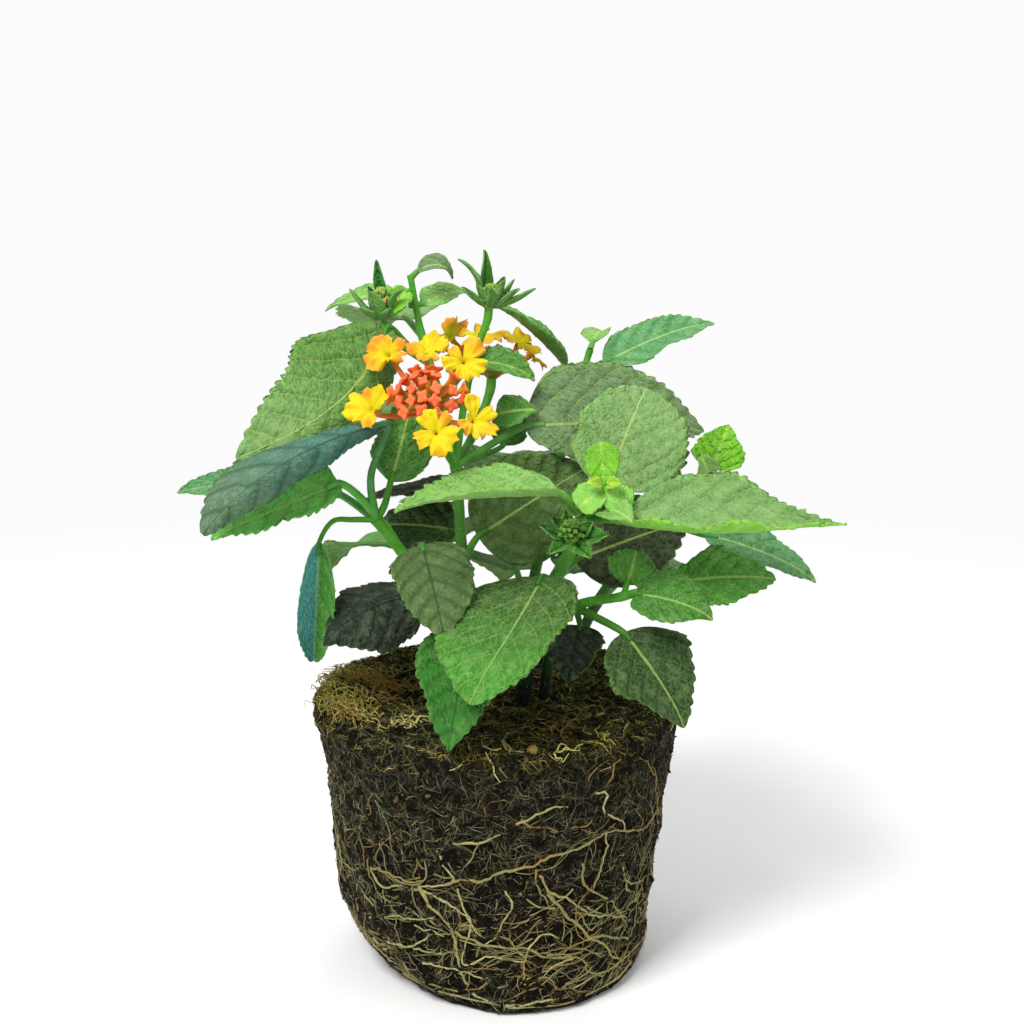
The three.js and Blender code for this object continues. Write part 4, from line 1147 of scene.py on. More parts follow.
def floret_tube(start, facing, end, first, angle):
    """Rings of the curved tube behind a floret, and how far along it each ring is."""
    spine = [start, start - facing * 2.2, (start - facing * 4.2 + end) / 2, end]
    places, marks = smooth_path(spine, 1.0)
    rings = []
    for place, mark, ahead in zip(places, marks, np.gradient(places, axis=0)):
        ahead = -unit(ahead)
        first = unit(first - ahead * (first @ ahead))
        thick = TUBE_RADIUS + 0.35 * max(0, 1 - mark * 3)
        thick *= 1.0 - 0.2 * mark + 0.25 * math.exp(-((mark - 0.55) / 0.16) ** 2)
        rings.append(place + thick * round_about(angle, first, np.cross(ahead, first)))
    return np.array(rings), marks


def petal_tones(t, radius, angle, ruffle, tint_share, shift):
    """Colours of the petals' faces, from the throat to the rim, with painted shade in the troughs of the
    ruffles.
    """
    tone = mixed(YELLOW, GOLD, 0.2 + 0.2 * np.sin(3 * angle + shift) * t)
    tone = mixed(tone, APRICOT, tint_share * np.clip((t - 0.18) * 1.9, 0, 1))
    tone = mixed(tone, PINK, 0.25 * tint_share * np.clip((t - 0.75) * 4, 0, 1))
    # Painted shade: ochre in the troughs of the ruffles.
    tone = mixed(tone, FOLD_SHADE_OCHRE, 0.7 * np.clip(-1.5 * ruffle, 0, 1) * t)
    # The throat's own orange, with painted shade in its opening.
    return mixed(tone, THROAT, 0.4 * np.exp(-(radius / 0.56) ** 4))


def floret(skin, centre, facing, lobes, size, cup, tube_end, tube_tone, seed):
    """An open floret: ruffled lobes round a throat, on a curved tube, as one skin.

    Lobes are (angle, half width, length, lift, blush): angles in degrees seen from the front with up at
    90, length as a share of the size, lift in mm forward at the lobe's end, blush how apricot it is.
    """
    dice = random.Random(seed)
    rightward, upward, facing = facing_axes(facing)
    angle = np.linspace(0, math.tau, FLORET_SIDES, endpoint=False)
    reach, lift, twist, roll, tint_share, crown = lobed_rim(lobes, angle, dice)
    frill = [dice.uniform(0, 6) for _ in range(5)]
    reach = reach + 0.046 * np.sin(13 * angle + frill[0]) + 0.034 * np.sin(23 * angle + frill[1])
    t = np.linspace(0, 1, FLORET_ROWS)[:, None] ** 0.9
    radius = THROAT_RADIUS + (size * reach - THROAT_RADIUS) * t
    ruffle = 0.46 * np.sin(7 * angle + frill[2] + 2.5 * t) + 0.36 * np.sin(12 * angle + frill[3] - 3 * t)
    ruffle = ruffle + 0.2 * np.sin(19 * angle + frill[4]) * t
    height = -1.7 * np.exp(-(radius / 1.2) ** 1.4) + (cup + lift) * t ** 1.7 + (ruffle + twist) * t ** 1.8
    height = height - roll * t ** 2.2 - 0.8 * (1 - crown) * t - 0.7 * t ** 6
    wave = np.sin(1.9 * radius + 3 * angle + frill[1]) * np.clip(t * 2, 0, 1)
    sheet = np.asarray(centre, float) + (radius * np.cos(angle))[..., None] * rightward
    sheet = sheet + (radius * np.sin(angle))[..., None] * upward + (height + 0.14 * wave)[..., None] * facing
    ring = np.concatenate([sheet, sheet[:, :1]], axis=1)
    sideways = np.roll(sheet, -1, axis=1) - np.roll(sheet, 1, axis=1)
    normal = unit(np.cross(np.gradient(ring, axis=0)[:, :-1], sideways))
    back = sheet - normal * PETAL_THICKNESS * (1.2 - t)[..., None]
    mouth = sheet[0].mean(axis=0)
    funnel = mouth - facing * 0.8 + (sheet[0] - mouth) * 0.45
    tube, marks = floret_tube(back[0].mean(axis=0), facing, tube_end, rightward, angle)
    points = np.concatenate([funnel[None], sheet, back[::-1], tube])
    faces = shell_faces(len(points), FLORET_SIDES)
    face_tone = petal_tones(t, radius, angle, ruffle, tint_share, frill[0])
    back_tone = mixed(face_tone, APRICOT, 0.3) * np.array([1.0, 0.95, 0.9, 1.0])
    tube_share = np.clip(marks * 1.3, 0, 1)[:, None] * np.ones(FLORET_SIDES)
    # The funnel deep in the throat is its orange at 0.8: painted shade.
    tones = np.concatenate([np.broadcast_to(THROAT, (1, FLORET_SIDES, 4)) * 0.8, face_tone, back_tone[::-1],
                            mixed(mixed(GOLD, TUBE, 0.6), tube_tone, tube_share)])
    skin.add(points, faces, [0] * len(faces), tone=tones)


BUD_SIDES = 20


def bud(skin, foot, top, width, spin, head_tone, neck_tone, foot_tone, curve=(0, 0, 0), squeeze=0.0,
        tint_share=0.4):
    """A closed bud: a four-cornered pillow on a slim tube that widens to a neck, with a painted pink
    highlight on top.
    """
    foot, top = np.asarray(foot, float), np.asarray(top, float)
    axis = unit(top - foot)
    first, second, _ = facing_axes(axis)
    angle = np.linspace(0, math.tau, BUD_SIDES, endpoint=False) + spin
    length = np.linalg.norm(top - foot)
    half = width / 2
    # (height from the top, radius as a share of the half width, how square)
    rows = [(-length, 0.27, 0.0), (-length * 0.75, 0.3, 0.0), (-length * 0.5, 0.33, 0.05),
            (-length * 0.32, 0.37, 0.1), (-2.3, 0.44, 0.2), (-1.7, 0.54, 0.4), (-1.25, 0.7, 0.8),
            (-0.85, 0.9, 1.0), (-0.5, 1.04, 1.0), (-0.2, 1.0, 1.0), (0.0, 0.76, 0.9), (0.1, 0.4, 0.6),
            (0.02, 0.1, 0.2)]
    corners = np.cos(4 * (angle - spin))
    points, tones = [], []
    for height, share, square in rows:
        radius = half * share * (1 + 0.22 * square * corners + squeeze * np.cos(2 * angle))
        crease = -0.16 * square * (1 - np.abs(np.cos(2 * (angle - spin)))) * (0.3 < share < 0.95)
        droop = 0.14 * square * corners * share
        rise = (height + length) / length
        shift = np.asarray(curve, float) * 4 * rise * (1 - rise) if rise < 1 else 0
        middle = foot + axis * (length + height) + shift
        points.append(middle + radius[:, None] * round_about(angle, first, second)
                      + (crease + droop)[:, None] * axis)
        if height < -1.9:
            tone = mixed(foot_tone, neck_tone, np.clip(rise * 1.25 - 0.15, 0, 1))
        else:
            tone = mixed(neck_tone, head_tone, np.clip((height + 1.9) / 1.0, 0, 1))
            # Pink on the top of the pillow's corners is a painted highlight.
            tone = mixed(tone, PINK, tint_share * (height > -0.1) * square)
        tones.append(np.broadcast_to(tone, (BUD_SIDES, 4)))
    faces = shell_faces(len(rows), BUD_SIDES)
    skin.add(np.concatenate(points), faces, [0] * len(faces), tone=np.concatenate(tones))


def core(skin, place, turn, radius, height, tone):
    """The small green dome that a head's buds grow from."""
    sides, rings = 24, 8
    angle = np.linspace(0, math.tau, sides, endpoint=False)
    points = []
    for step in range(rings):
        lean = math.pi * (step + 0.35) / (rings - 0.3)
        wide = radius * math.sin(lean)
        level = np.full(sides, height - radius * math.cos(lean) * 0.9)
        points.append(place + np.stack([wide * np.cos(angle), wide * np.sin(angle), level], -1) @ turn.T)
    faces = shell_faces(rings, sides)
    skin.add(np.concatenate(points), faces, [0] * len(faces),
             tone=np.broadcast_to(tone, (rings * sides, 4)))


# (place in mm, way it looks, lobes, size, cup, tube)
FRONT_FLORETS = [
    ((-31.9, -25.5, 160.9), (-0.45, -0.62, 0.64), [
        (165, 58, 1.05, 0.9, 0.0), (24, 46, 0.98, 1.5, 0.0), (95, 24, 0.72, 1.2, 0.9),
        (264, 32, 0.88, -1.7, 0.55)], 6.3, 1.4, RED_TUBE),
    ((-28.2, -10.0, 172.4), (-0.25, -0.80, 0.55), [
        (130, 52, 1.0, 0.5, 0.95), (38, 26, 0.95, 0.2, 1.0), (338, 26, 0.9, 0.3, 0.9),
        (213, 34, 1.08, 0.6, 0.75)], 6.0, 0.9, TUBE),
    ((-17.9, -8.0, 172.8), (0.05, -0.45, 0.90), [
        (55, 58, 1.0, 1.4, 0.1), (172, 34, 1.0, 0.5, 1.0), (275, 50, 0.8, -0.9, 0.85)], 5.9, 1.6, GOLD),
    ((-8.2, -10.5, 170.5), (0.10, -0.85, 0.50), [
        (56, 30, 1.15, 0.2, 0.7), (135, 24, 0.85, -0.3, 0.5), (194, 30, 1.0, 0.5, 0.1),
        (270, 36, 0.95, 0.8, 0.15), (338, 36, 0.98, 0.3, 0.0)], 6.3, 0.7, TUBE),
    ((-5.3, -28.6, 158.1), (0.35, -0.78, 0.52), [
        (100, 24, 1.15, 0.6, 0.1), (30, 24, 1.0, 0.7, 0.15), (338, 24, 1.12, 0.2, 0.35),
        (290, 24, 0.85, -0.5, 0.3), (222, 36, 0.8, -0.3, 0.7)], 6.1, 1.0, TUBE),
    ((-14.8, -34.0, 156.1), (0.0, -0.86, 0.50), [
        (120, 34, 1.0, 0.5, 0.0), (58, 20, 0.95, 0.9, 0.9), (352, 34, 0.98, 0.1, 0.15),
        (286, 34, 1.08, -0.3, 0.05), (208, 34, 0.98, 0.2, 0.35)], 6.2, 0.8, RED_TUBE),
]
# (turn round the head, way it looks, how apricot)
REAR_FLORETS = [
    (10, (0.75, 0.05, 0.60), 0.7), (62, (0.45, 0.50, 0.70), 0.1), (115, (-0.15, 0.60, 0.75), 1.0),
    (168, (-0.80, -0.10, 0.60), 1.0), (220, (-0.60, -0.45, 0.75), 0.9), (262, (0.10, -0.30, 0.95), 0.5),
    (314, (0.50, -0.25, 0.85), 0.3),
]

REAR_SHIFT = (-2.6, 0, 0)

# (turn round the head's axis, lean from it), degrees
FRONT_BUDS = [
    (134, 52), (156, 36), (178, 42), (148, 20), (200, 6), (54, 14), (82, 44), (39, 42), (25, 62), (348, 32),
    (312, 14), (204, 22), (250, 22), (289, 27), (230, 33), (203, 47), (258, 40), (228, 50), (314, 42),
    (342, 48), (110, 34), (90, 26), (285, 46), (180, 58), (112, 56), (160, 68),
]
REAR_BUDS = [(47 * k, 8 + 4 * k) for k in range(10)]


def open_head(name, rows, seed):
    """The open florets of a head, each on a tube that runs to the head's core."""
    place, turn = head_frame(name)
    skin = Skin()
    for number, (centre, facing, lobes, size, cup, tube_tone) in enumerate(rows):
        around = (np.asarray(centre, float) - place) @ turn
        around = unit(np.array([around[0], around[1], 0]))
        root = place + turn @ (around * 2.2 + np.array([0, 0, 1.6]))
        floret(skin, centre, facing, lobes, size, cup, root, tube_tone, seed + number)
    return skin.build(name + "_open_florets", [PETAL])


def rear_rows(ring, height, seed):
    """The rear head's florets, spread round its axis."""
    place, turn = head_frame("rear_head")
    dice = random.Random(seed)
    rows = []
    for number, (bearing, facing, warmth) in enumerate(REAR_FLORETS):
        flat = np.array([math.cos(math.radians(bearing)), math.sin(math.radians(bearing)), 0])
        centre = place + turn @ (flat * ring + np.array([0, 0, height])) + np.array(REAR_SHIFT)
        lobes = [(dice.uniform(0, 20) + 78 * k + dice.uniform(-8, 8), dice.uniform(24, 34),
                  dice.uniform(0.85, 1.1), dice.uniform(-1.2, 0.8), warmth * dice.uniform(0.6, 1.1))
                 for k in range(5 if number % 2 else 4)]
        rows.append((centre, facing, lobes, 6.6, 0.5, TUBE))
    return rows


def bud_dome(name, leans, length, radius, ripeness, seed):
    """The closed buds of an open head, on their green core."""
    place, turn = head_frame(name)
    dice = random.Random(seed)
    skin = Skin()
    core(skin, place, turn, radius, radius * 0.85, OLIVE)
    for bearing, lean in leans:
        bearing = math.radians(bearing)
        direction = turn @ leaning(bearing, math.radians(lean))
        foot = place + turn[:, 2] * radius * 0.85 + direction * radius * 0.7
        reach = length * dice.uniform(0.93, 1.06)
        aside = turn @ leaning(bearing, math.pi / 2)
        width = dice.uniform(2.6, 3.1) + 0.6 * (lean > 38)
        apricot = dice.uniform(*ripeness) + 0.5 * (lean > 60)
        bud(skin, foot, place + direction * reach, width, dice.uniform(0, 1.5),
            mixed(CORAL, APRICOT, apricot), BUD_NECK, mixed(OLIVE, TUBE, dice.uniform(0, 0.5)),
            aside * dice.uniform(0.2, 0.8), dice.uniform(-0.14, 0.14))
    return skin.build(name + "_closed_buds", [PETAL])


# Bracts of the heads in bud: (tip from the head's place in mm, width, arch)
BRACTS = {
    "bud_head_left": [
        ((-1.6, 1.5, 13.6), 3.4, 0.4), ((-8.4, 0, 6.4), 2.6, 0.9), ((-2.8, -4, 6.0), 5.2, 0.6),
        ((5.6, -2.5, 6.6), 2.8, -0.9), ((-5.6, -3.5, 1.8), 3.2, 0.6), ((4.6, 4, 6), 3.2, 0.6),
        ((-4, 5, 6.5), 3.2, 0.6), ((0, 7.5, 4), 3.4, 0.6), ((7, 3.5, 3), 2.8, 0.6),
        ((2.2, -4.5, 1.6), 3.0, 0.6),
    ],
    "bud_head_top": [
        ((-8.0, 1, 13.2), 3.2, -1.8), ((-0.8, 2.5, 15.2), 4.2, 0.3), ((12.2, -1, 5.6), 3.2, 0.9),
        ((6.9, -3, 5.4), 2.6, 0.7), ((6.4, -1, 7.8), 2.6, 0.6), ((3.8, -3.5, 7.8), 2.8, 0.6),
        ((0.8, -4.8, 5.8), 3.4, 0.7), ((-2.8, -3, 6.4), 2.8, 0.2), ((-4.8, -3.5, 5.2), 2.8, 0.8),
        ((4, 5, 8), 3.4, 0.8), ((-3, 5, 9), 3.4, 0.8), ((8, 4, 5), 3.2, 0.8), ((-7, 4, 5.5), 3.2, 0.8),
        ((0, 8, 5.5), 3.4, 0.8),
    ],
    "bud_head_right": [
        ((-7.8, -2.5, 4.4), 3.8, 0.6), ((-1.4, 0.5, 7.4), 3.4, 0.5), ((5.0, -1, 4.6), 3.8, 0.6),
        ((8.8, -3, 2.2), 5.2, 0.8), ((-5.6, -6, -1.8), 3.6, 0.5), ((4.4, -7, -2.6), 4.4, 0.6),
        ((-4.6, 1.5, 5.4), 3.6, 0.5), ((3.4, 2, 6.2), 3.4, 0.5),
    ],
}


# (how high the bracts sit, share of ripe buds, tones of the others, seed)
BUD_HEADS = {
    "bud_head_left": (-1.6, 0.12, (YOUNG_BUD, PALE_BUD), 500),
    "bud_head_top": (0.4, 0.06, (YOUNG_BUD, PALE_BUD), 600),
    "bud_head_right": (0.4, 0.0, (DARK_BUD, YOUNG_BUD), 700),
}
SMALL_BUDS = 30


def bud_head(name, foot, ripe_share, bud_tones, seed):
    """A head still in bud: hairy green bracts round a core of small green and orange buds."""
    place, turn = head_frame(name)
    dice = random.Random(seed)
    axis = turn[:, 2]
    skin = Skin()
    for number, (tip, width, arch) in enumerate(BRACTS[name]):
        tip = np.array(tip, float)
        aside = tip - axis * (tip @ axis)
        outward = unit(aside + 1e-3)
        base = place + outward * 1.7 + axis * (foot + 0.05 * number)
        inward = axis * 1.2 - outward * (tip @ axis) / max(1, np.linalg.norm(aside))
        row = leaf(None, tuple(base), tuple(place + tip), 1.2 * width, tuple(inward), -arch, (24, 24),
                   "bract" if number % 3 else "fern", shape=(0.5, 0.75), veins=0.1, quilt=0.3, teeth=0.0,
                   waves=1.5)
        blade(skin, row, seed + number)
    green = skin.build(name + "_bracts", [LEAF_TOP, LEAF_BACK])
    skin = Skin()
    core(skin, place, turn, 2.1, 1.2, YOUNG_BUD)
    for number in range(SMALL_BUDS):
        lean = math.radians(4 + 2.3 * number)
        direction = turn @ leaning(2.4 * number, lean)
        ripe = dice.random() < ripe_share
        tone = mixed(APRICOT, PINK, 0.4) if ripe else mixed(*bud_tones, dice.uniform(0, 0.9))
        start = place + axis * 1.3 + direction * 1.1
        reach = dice.uniform(1.9, 2.6) + 1.8 * math.cos(lean) ** 3
        bud(skin, start, start + direction * reach, 1.6 if ripe else 1.1, dice.uniform(0, 1.5), tone,
            bud_tones[0], bud_tones[0], squeeze=0.1, tint_share=0.4 * ripe)
    young = skin.build(name + "_young_buds", [PETAL])
    body = joined(name + "_body", [green, young])
    return furred(name + "_in_bracts", body, seed, Density=4e6, Thickness=0.04 * MM)


# ---------------------------------------------------------------- root ball

BALL_HEIGHT = 76
BALL_TOP_RADIUS = 51
BALL_BASE_RADIUS = 42.5
RIM_ROUND = 3.0
BALL_SIDES = 340
BALL_ROWS = 96
TOP_RINGS = 30
BASE_RINGS = 10
WORN_CORNER = math.radians(212)
# (length in mm, how close they lie, seed)
FIBRE_LAYERS = {
    "peat_fibres": (7, 0.8, 1), "peat_fibres_middle": (5.5, 0.65, 21), "peat_fibres_outer": (4, 0.45, 41),
}


def lumps(bearing, z):
    """Low waves round the ball, the same as the solid's."""
    return (np.sin(5 * bearing + 0.11 * z) + np.sin(9 * bearing - 0.17 * z + 2)
            + np.sin(14 * bearing + 0.23 * z + 4) + np.sin(0.31 * z + 1)) / 4


def side_radius(bearing, z):
    """The ball's radius at a bearing and a height, slimmer high on the left and low on the right."""
    plain = BALL_BASE_RADIUS + (BALL_TOP_RADIUS - BALL_BASE_RADIUS) * z / BALL_HEIGHT
    left = np.clip(-np.cos(bearing), 0, 1) ** 2 * np.exp(-((z - 58) / 22) ** 2)
    right = np.clip(np.cos(bearing), 0, 1) ** 2 * np.exp(-((z - 28) / 20) ** 2)
    return plain + 0.7 * lumps(bearing, z) - 1.7 * left - 1.5 * right


def foot_wear(bearing, z):
    """How far the foot of the ball is rubbed off, most of all at the front left."""
    corner = np.clip(np.cos(bearing - WORN_CORNER), 0, 1) ** 2.5
    return 1.2 * np.exp(-(z / 3.0) ** 1.3) + 9.0 * corner * np.exp(-(z / 10.0) ** 1.5)


def heap_height(x, y):
    """How high the litter is heaped over the ball's top, at its left rim."""
    return 4.6 * np.exp(-((x + 45) / 10) ** 2 - ((y + 10) / 26) ** 2)


def crumble(points):
    """How far crumbling pushes each point of the peat in or out."""
    pushes = []
    for x, y, z in points:
        at = Vector((x, y, z))
        broad = noise.fractal(at / 9, 1.0, 2.0, 3)
        fine = noise.fractal(at / 2.2, 0.9, 2.1, 3)
        pushes.append(broad * 0.9 + fine * 0.55)
    return np.array(pushes)


def ball_rows():
    """Rings of the ball from the middle of its base up its side to the middle of its top."""
    bearing = np.linspace(0, math.tau, BALL_SIDES, endpoint=False)
    rings = []
    for step in range(1, BASE_RINGS):
        radius = (side_radius(bearing, 0) - foot_wear(bearing, 0)) * (step / BASE_RINGS) * 0.97
        rings.append((radius, np.zeros_like(bearing)))
    for step in range(BALL_ROWS + 1):
        z = BALL_HEIGHT * step / BALL_ROWS
        radius = side_radius(bearing, z) - foot_wear(bearing, z)
        radius = radius - RIM_ROUND * np.exp(-((BALL_HEIGHT - z) / 1.8))
        radius = radius + 2.0 * math.exp(-((z - 74) / 5) ** 2) * np.clip(-np.cos(bearing + 0.2), 0, 1) ** 3
        rings.append((radius, np.full_like(bearing, z)))
    for step in range(TOP_RINGS - 1, 0, -1):
        radius = (side_radius(bearing, BALL_HEIGHT) - RIM_ROUND) * step / TOP_RINGS
        heap = heap_height(radius * np.cos(bearing), radius * np.sin(bearing))
        rings.append((radius, BALL_HEIGHT + 1.1 * lumps(bearing, 2.2 * radius) + heap))
    return bearing, rings


def peat_ball():
    """The block of peat, with a crumbled skin."""
    bearing, rings = ball_rows()
    points = np.concatenate([np.stack([r * np.cos(bearing), r * np.sin(bearing), z], -1) for r, z in rings])
    top = np.clip((points[:, 2] - BALL_HEIGHT + 1.5) / 1.5, 0, 1)[:, None]
    out = unit(unit(points * np.array([1, 1, 0])) * (1 - top) + np.array([0, 0, 1]) * top)
    rough = crumble(points)
    rough[points[:, 2] < 0.4] *= 0.2
    points = points + out * rough[:, None]
    height = np.maximum(points[:, 2], 0)
    points[:, 2] = height
    cover = np.where(height > 0.5, 0.55 + 0.45 * np.clip((height - 30) / 30, 0, 1), 0.0)
    faces = shell_faces(len(rings), BALL_SIDES)
    skin = Skin()
    skin.add(points, faces, [0] * len(faces), cover=cover)
    return skin.build("peat_ball", [PEAT])


def ground_for(source, name, cover):
    """A copy of the ball whose 'cover' says where something grows."""
    mesh = source.data.copy()
    mesh.name = name
    place = np.empty(len(mesh.vertices) * 3)
    mesh.vertices.foreach_get("co", place)
    place = place.reshape(-1, 3) / MM
    mesh.attributes["cover"].data.foreach_set("value", cover(place[:, 0], place[:, 1], place[:, 2]))
    return add_object(name, mesh)


def moss_cover(x, y, z):
    """Moss grows round the rim and in patches on top."""
    bearing = np.arctan2(y, x)
    patches = 0.5 + 0.5 * np.sin(7 * bearing + 1) * np.sin(3 * bearing + 2)
    rim = np.clip((z - 69 - 4 * patches) / 4, 0, 1)
    return np.clip(rim * (0.3 + 0.8 * patches), 0, 1)


def straw_cover(x, y, z):
    """Straw lies on top and near the rim."""
    return np.clip((z - 68) / 6, 0, 1)


# Main roots on the front, each point as (to the right, height)
FRONT_ROOTS = [
    ([(-20, 38), (-18, 34), (-15, 30), (-12, 27), (-11, 23), (-10, 18), (-9, 12), (-8, 9)], 0.62),
    ([(-15, 50), (-13, 45), (-11, 42), (-13, 40), (-20, 38)], 0.38),
    ([(-34, 38), (-33, 36), (-30, 34), (-27, 36), (-20, 37)], 0.42),
    ([(-34, 38), (-30, 39), (-23, 39), (-19, 40)], 0.34),
    ([(-20, 37), (-15, 35), (-9, 32), (-7, 30), (-7, 26), (-9, 20), (-9, 16)], 0.4),
    ([(-13, 40), (-9, 42), (-4, 42), (0, 44), (9, 46), (13, 48), (20, 49), (28, 51), (34, 49), (39, 47),
      (43, 49)], 0.46),
    ([(-34, 23), (-28, 26), (-20, 28), (-15, 30)], 0.36),
    ([(-30, 17), (-24, 18), (-19, 22), (-18, 24)], 0.34),
    ([(-36, 14), (-32, 14), (-28, 15), (-26, 8)], 0.34),
    ([(-36, 14), (-34, 10), (-30, 8)], 0.3),
    ([(-32, 13), (-23, 18), (-16, 18), (-11, 20)], 0.36),
    ([(-20, 14), (-15, 14), (-10, 14), (-4, 12)], 0.34),
    ([(-9, 16), (-6, 17), (-3, 19), (3, 18), (7, 17)], 0.36),
    ([(-10, 39), (-8, 32), (-6, 28), (-3, 23)], 0.34),
    ([(-11, 26), (-6, 24), (-3, 23), (3, 22), (8, 21), (13, 18), (20, 16), (24, 12), (24, 10),
      (28, 7)], 0.46),
    ([(-11, 52), (-4, 53), (5, 58), (10, 60), (14, 62), (18, 62)], 0.42),
    ([(25, 64), (28, 63), (27, 59), (33, 52), (33, 50)], 0.4),
    ([(28, 51), (28, 46), (27, 41), (26, 35)], 0.34),
    ([(22, 44), (23, 37), (26, 34), (31, 29), (34, 24), (39, 25), (41, 27)], 0.44),
    ([(11, 43), (13, 38), (19, 34), (21, 31), (26, 27), (30, 25), (35, 22), (40, 25)], 0.42),
    ([(13, 37), (16, 33), (19, 28), (22, 25), (24, 21), (28, 20), (32, 16), (36, 13)], 0.6),
    ([(24, 21), (28, 17), (31, 11), (34, 8)], 0.42),
    ([(2, 39), (4, 35), (2, 31), (-1, 24), (-3, 23)], 0.34),
    ([(6, 38), (10, 34), (15, 32)], 0.32),
    ([(8, 21), (7, 17), (7, 12)], 0.32),
    ([(8, 21), (12, 25), (16, 23)], 0.3),
    ([(20, 16), (15, 15), (11, 13), (7, 11), (0, 9)], 0.4),
    ([(33, 43), (34, 36), (36, 32), (41, 28)], 0.36),
    ([(7, 10), (10, 12), (14, 11), (15, 7)], 0.36),
    ([(-7, 6), (-2, 4), (3, 3), (12, 4), (20, 4)], 0.44),
]
ROOT_TONES = [paint(158, 156, 96), paint(140, 134, 80), paint(178, 174, 118), paint(160, 118, 52)]


def on_ball(bearing, z, lift):
    """A point on the ball's side."""
    radius = side_radius(bearing, z) - foot_wear(bearing, max(z, 0)) + lift
    return (radius * math.cos(bearing), radius * math.sin(bearing), z)


def kinked(points, dice, amount):
    """Adds the small kinks that a root gets from growing through peat."""
    return np.array([[p + dice.gauss(0, amount) for p in point] for point in points])


def front_root(points, radius, dice):
    """A root on the front, through points given as (to the right, height)."""
    places = []
    for x, z in points:
        plain = side_radius(-math.pi / 2, z)
        bearing = -math.acos(max(-1, min(1, x / plain)))
        places.append(on_ball(bearing, z, 0.35))
    places, marks = smooth_path(kinked(places, dice, 0.12), 1.3)
    places = kinked(places, dice, 0.16)
    radii = 0.82 * radius * (1.05 - 0.35 * marks) * (1 + 0.18 * np.sin(marks * 40 + dice.uniform(0, 6)))
    pale = dice.choice(ROOT_TONES[:3])
    rust = 0.25 * np.sin(marks * 9 + dice.uniform(0, 6)) ** 2
    return places, radii, mixed(pale, ROOT_TONES[3], rust)


def wandering_root(dice, low_bias):
    """A root that wanders down and round the ball."""
    bearing = dice.uniform(0, math.tau)
    z = dice.uniform(8, 66) if not low_bias else dice.uniform(3, 32)
    heading = dice.choice((0, math.pi)) + dice.uniform(-0.35, 0.35) if low_bias else dice.uniform(-2.6, -0.5)
    places = []
    for _ in range(dice.randint(5, 14)):
        places.append(on_ball(bearing, z, dice.uniform(-0.25, 0.5)))
        heading += dice.gauss(0, 0.3 if low_bias else 0.55)
        stride = dice.uniform(2.5, 5)
        bearing += math.cos(heading) * stride / 46
        z = min(72, max(3, z + math.sin(heading) * stride))
        if z < 5:
            heading = dice.choice((0.05, math.pi - 0.05))
    places, marks = smooth_path(places, 1.8)
    radius = dice.uniform(0.1, 0.24) if low_bias else dice.uniform(0.1, 0.3)
    radii = radius * (1.05 - 0.6 * marks)
    tone = mixed(dice.choice(ROOT_TONES), paint(92, 86, 50), np.full(len(marks), dice.uniform(0.0, 0.7)))
    return kinked(places, dice, 0.14), radii, tone


def circling_root(start, sweep, z, dice):
    """A root that circles the foot of the ball, as in a pot."""
    places = []
    for step in range(int(sweep / 0.09)):
        bearing = start + step * 0.09
        places.append(on_ball(bearing, z + 1.2 * math.sin(step * 0.35) + dice.gauss(0, 0.25), 0.3))
    places, marks = smooth_path(places, 2.0)
    radii = dice.uniform(0.2, 0.3) * (1 + 0.2 * np.sin(marks * 30))
    tone = mixed(dice.choice(ROOT_TONES[:3]), ROOT_TONES[3], 0.3 * np.sin(marks * 20) ** 2)
    return places, radii, tone


def root_web():
    """All the roots on the ball."""
    dice = random.Random(5)
    paths = [front_root(points, radius, dice) for points, radius in FRONT_ROOTS]
    paths += [wandering_root(dice, False) for _ in range(130)]
    paths += [wandering_root(dice, True) for _ in range(190)]
    for start, sweep, z in ((0.2, 2.6, 3.5), (2.2, 2.4, 5), (3.9, 2.0, 3), (5.2, 1.6, 6.5), (1.2, 1.8, 8)):
        paths.append(circling_root(start, sweep, z, dice))
    return tubes("root_web", paths, 6, ROOT_SKIN)


# ---------------------------------------------------------------- litter

# Curled cream fibres and twigs near the rim: (right, back, spread, how many, thickness, tone)
TUFTS = [
    (-33, -10, 2.0, 8, 0.2, paint(206, 178, 108)),
    (-22, -26, 2.2, 14, 0.17, paint(222, 208, 128)),
    (-33, -24, 2.0, 9, 0.17, paint(214, 196, 112)),
    (-28, -4, 5.0, 14, 0.16, paint(160, 122, 52)),
    (-42, -8, 2.6, 12, 0.16, paint(190, 186, 84)),
    (-34, 2, 5.0, 80, 0.17, paint(200, 150, 70)),
    (-40, 8, 4.0, 50, 0.15, paint(152, 148, 60)),
    (-40, -17, 2.8, 40, 0.15, paint(158, 154, 52)),
    (-43.5, -2, 2.8, 30, 0.15, paint(150, 138, 62)),
    (-38, -22, 3.0, 26, 0.15, paint(170, 136, 66)),
    (27, -36, 1.2, 5, 0.2, paint(196, 188, 84)),
    (15, -32, 1.5, 4, 0.32, paint(140, 112, 58)),
    (20, -24, 1.8, 5, 0.28, paint(150, 130, 66)),
    (3, -44, 1.0, 4, 0.24, paint(190, 170, 96)),
    (24, -18, 4.0, 10, 0.16, paint(160, 156, 66)),
    (15, -46, 1.2, 3, 0.2, paint(206, 196, 110)),
]
PEBBLE_PLACE = (9, -45.5, 76.6)
PEBBLE_RADIUS = 1.4
PEBBLE_TONE = paint(158, 132, 56)


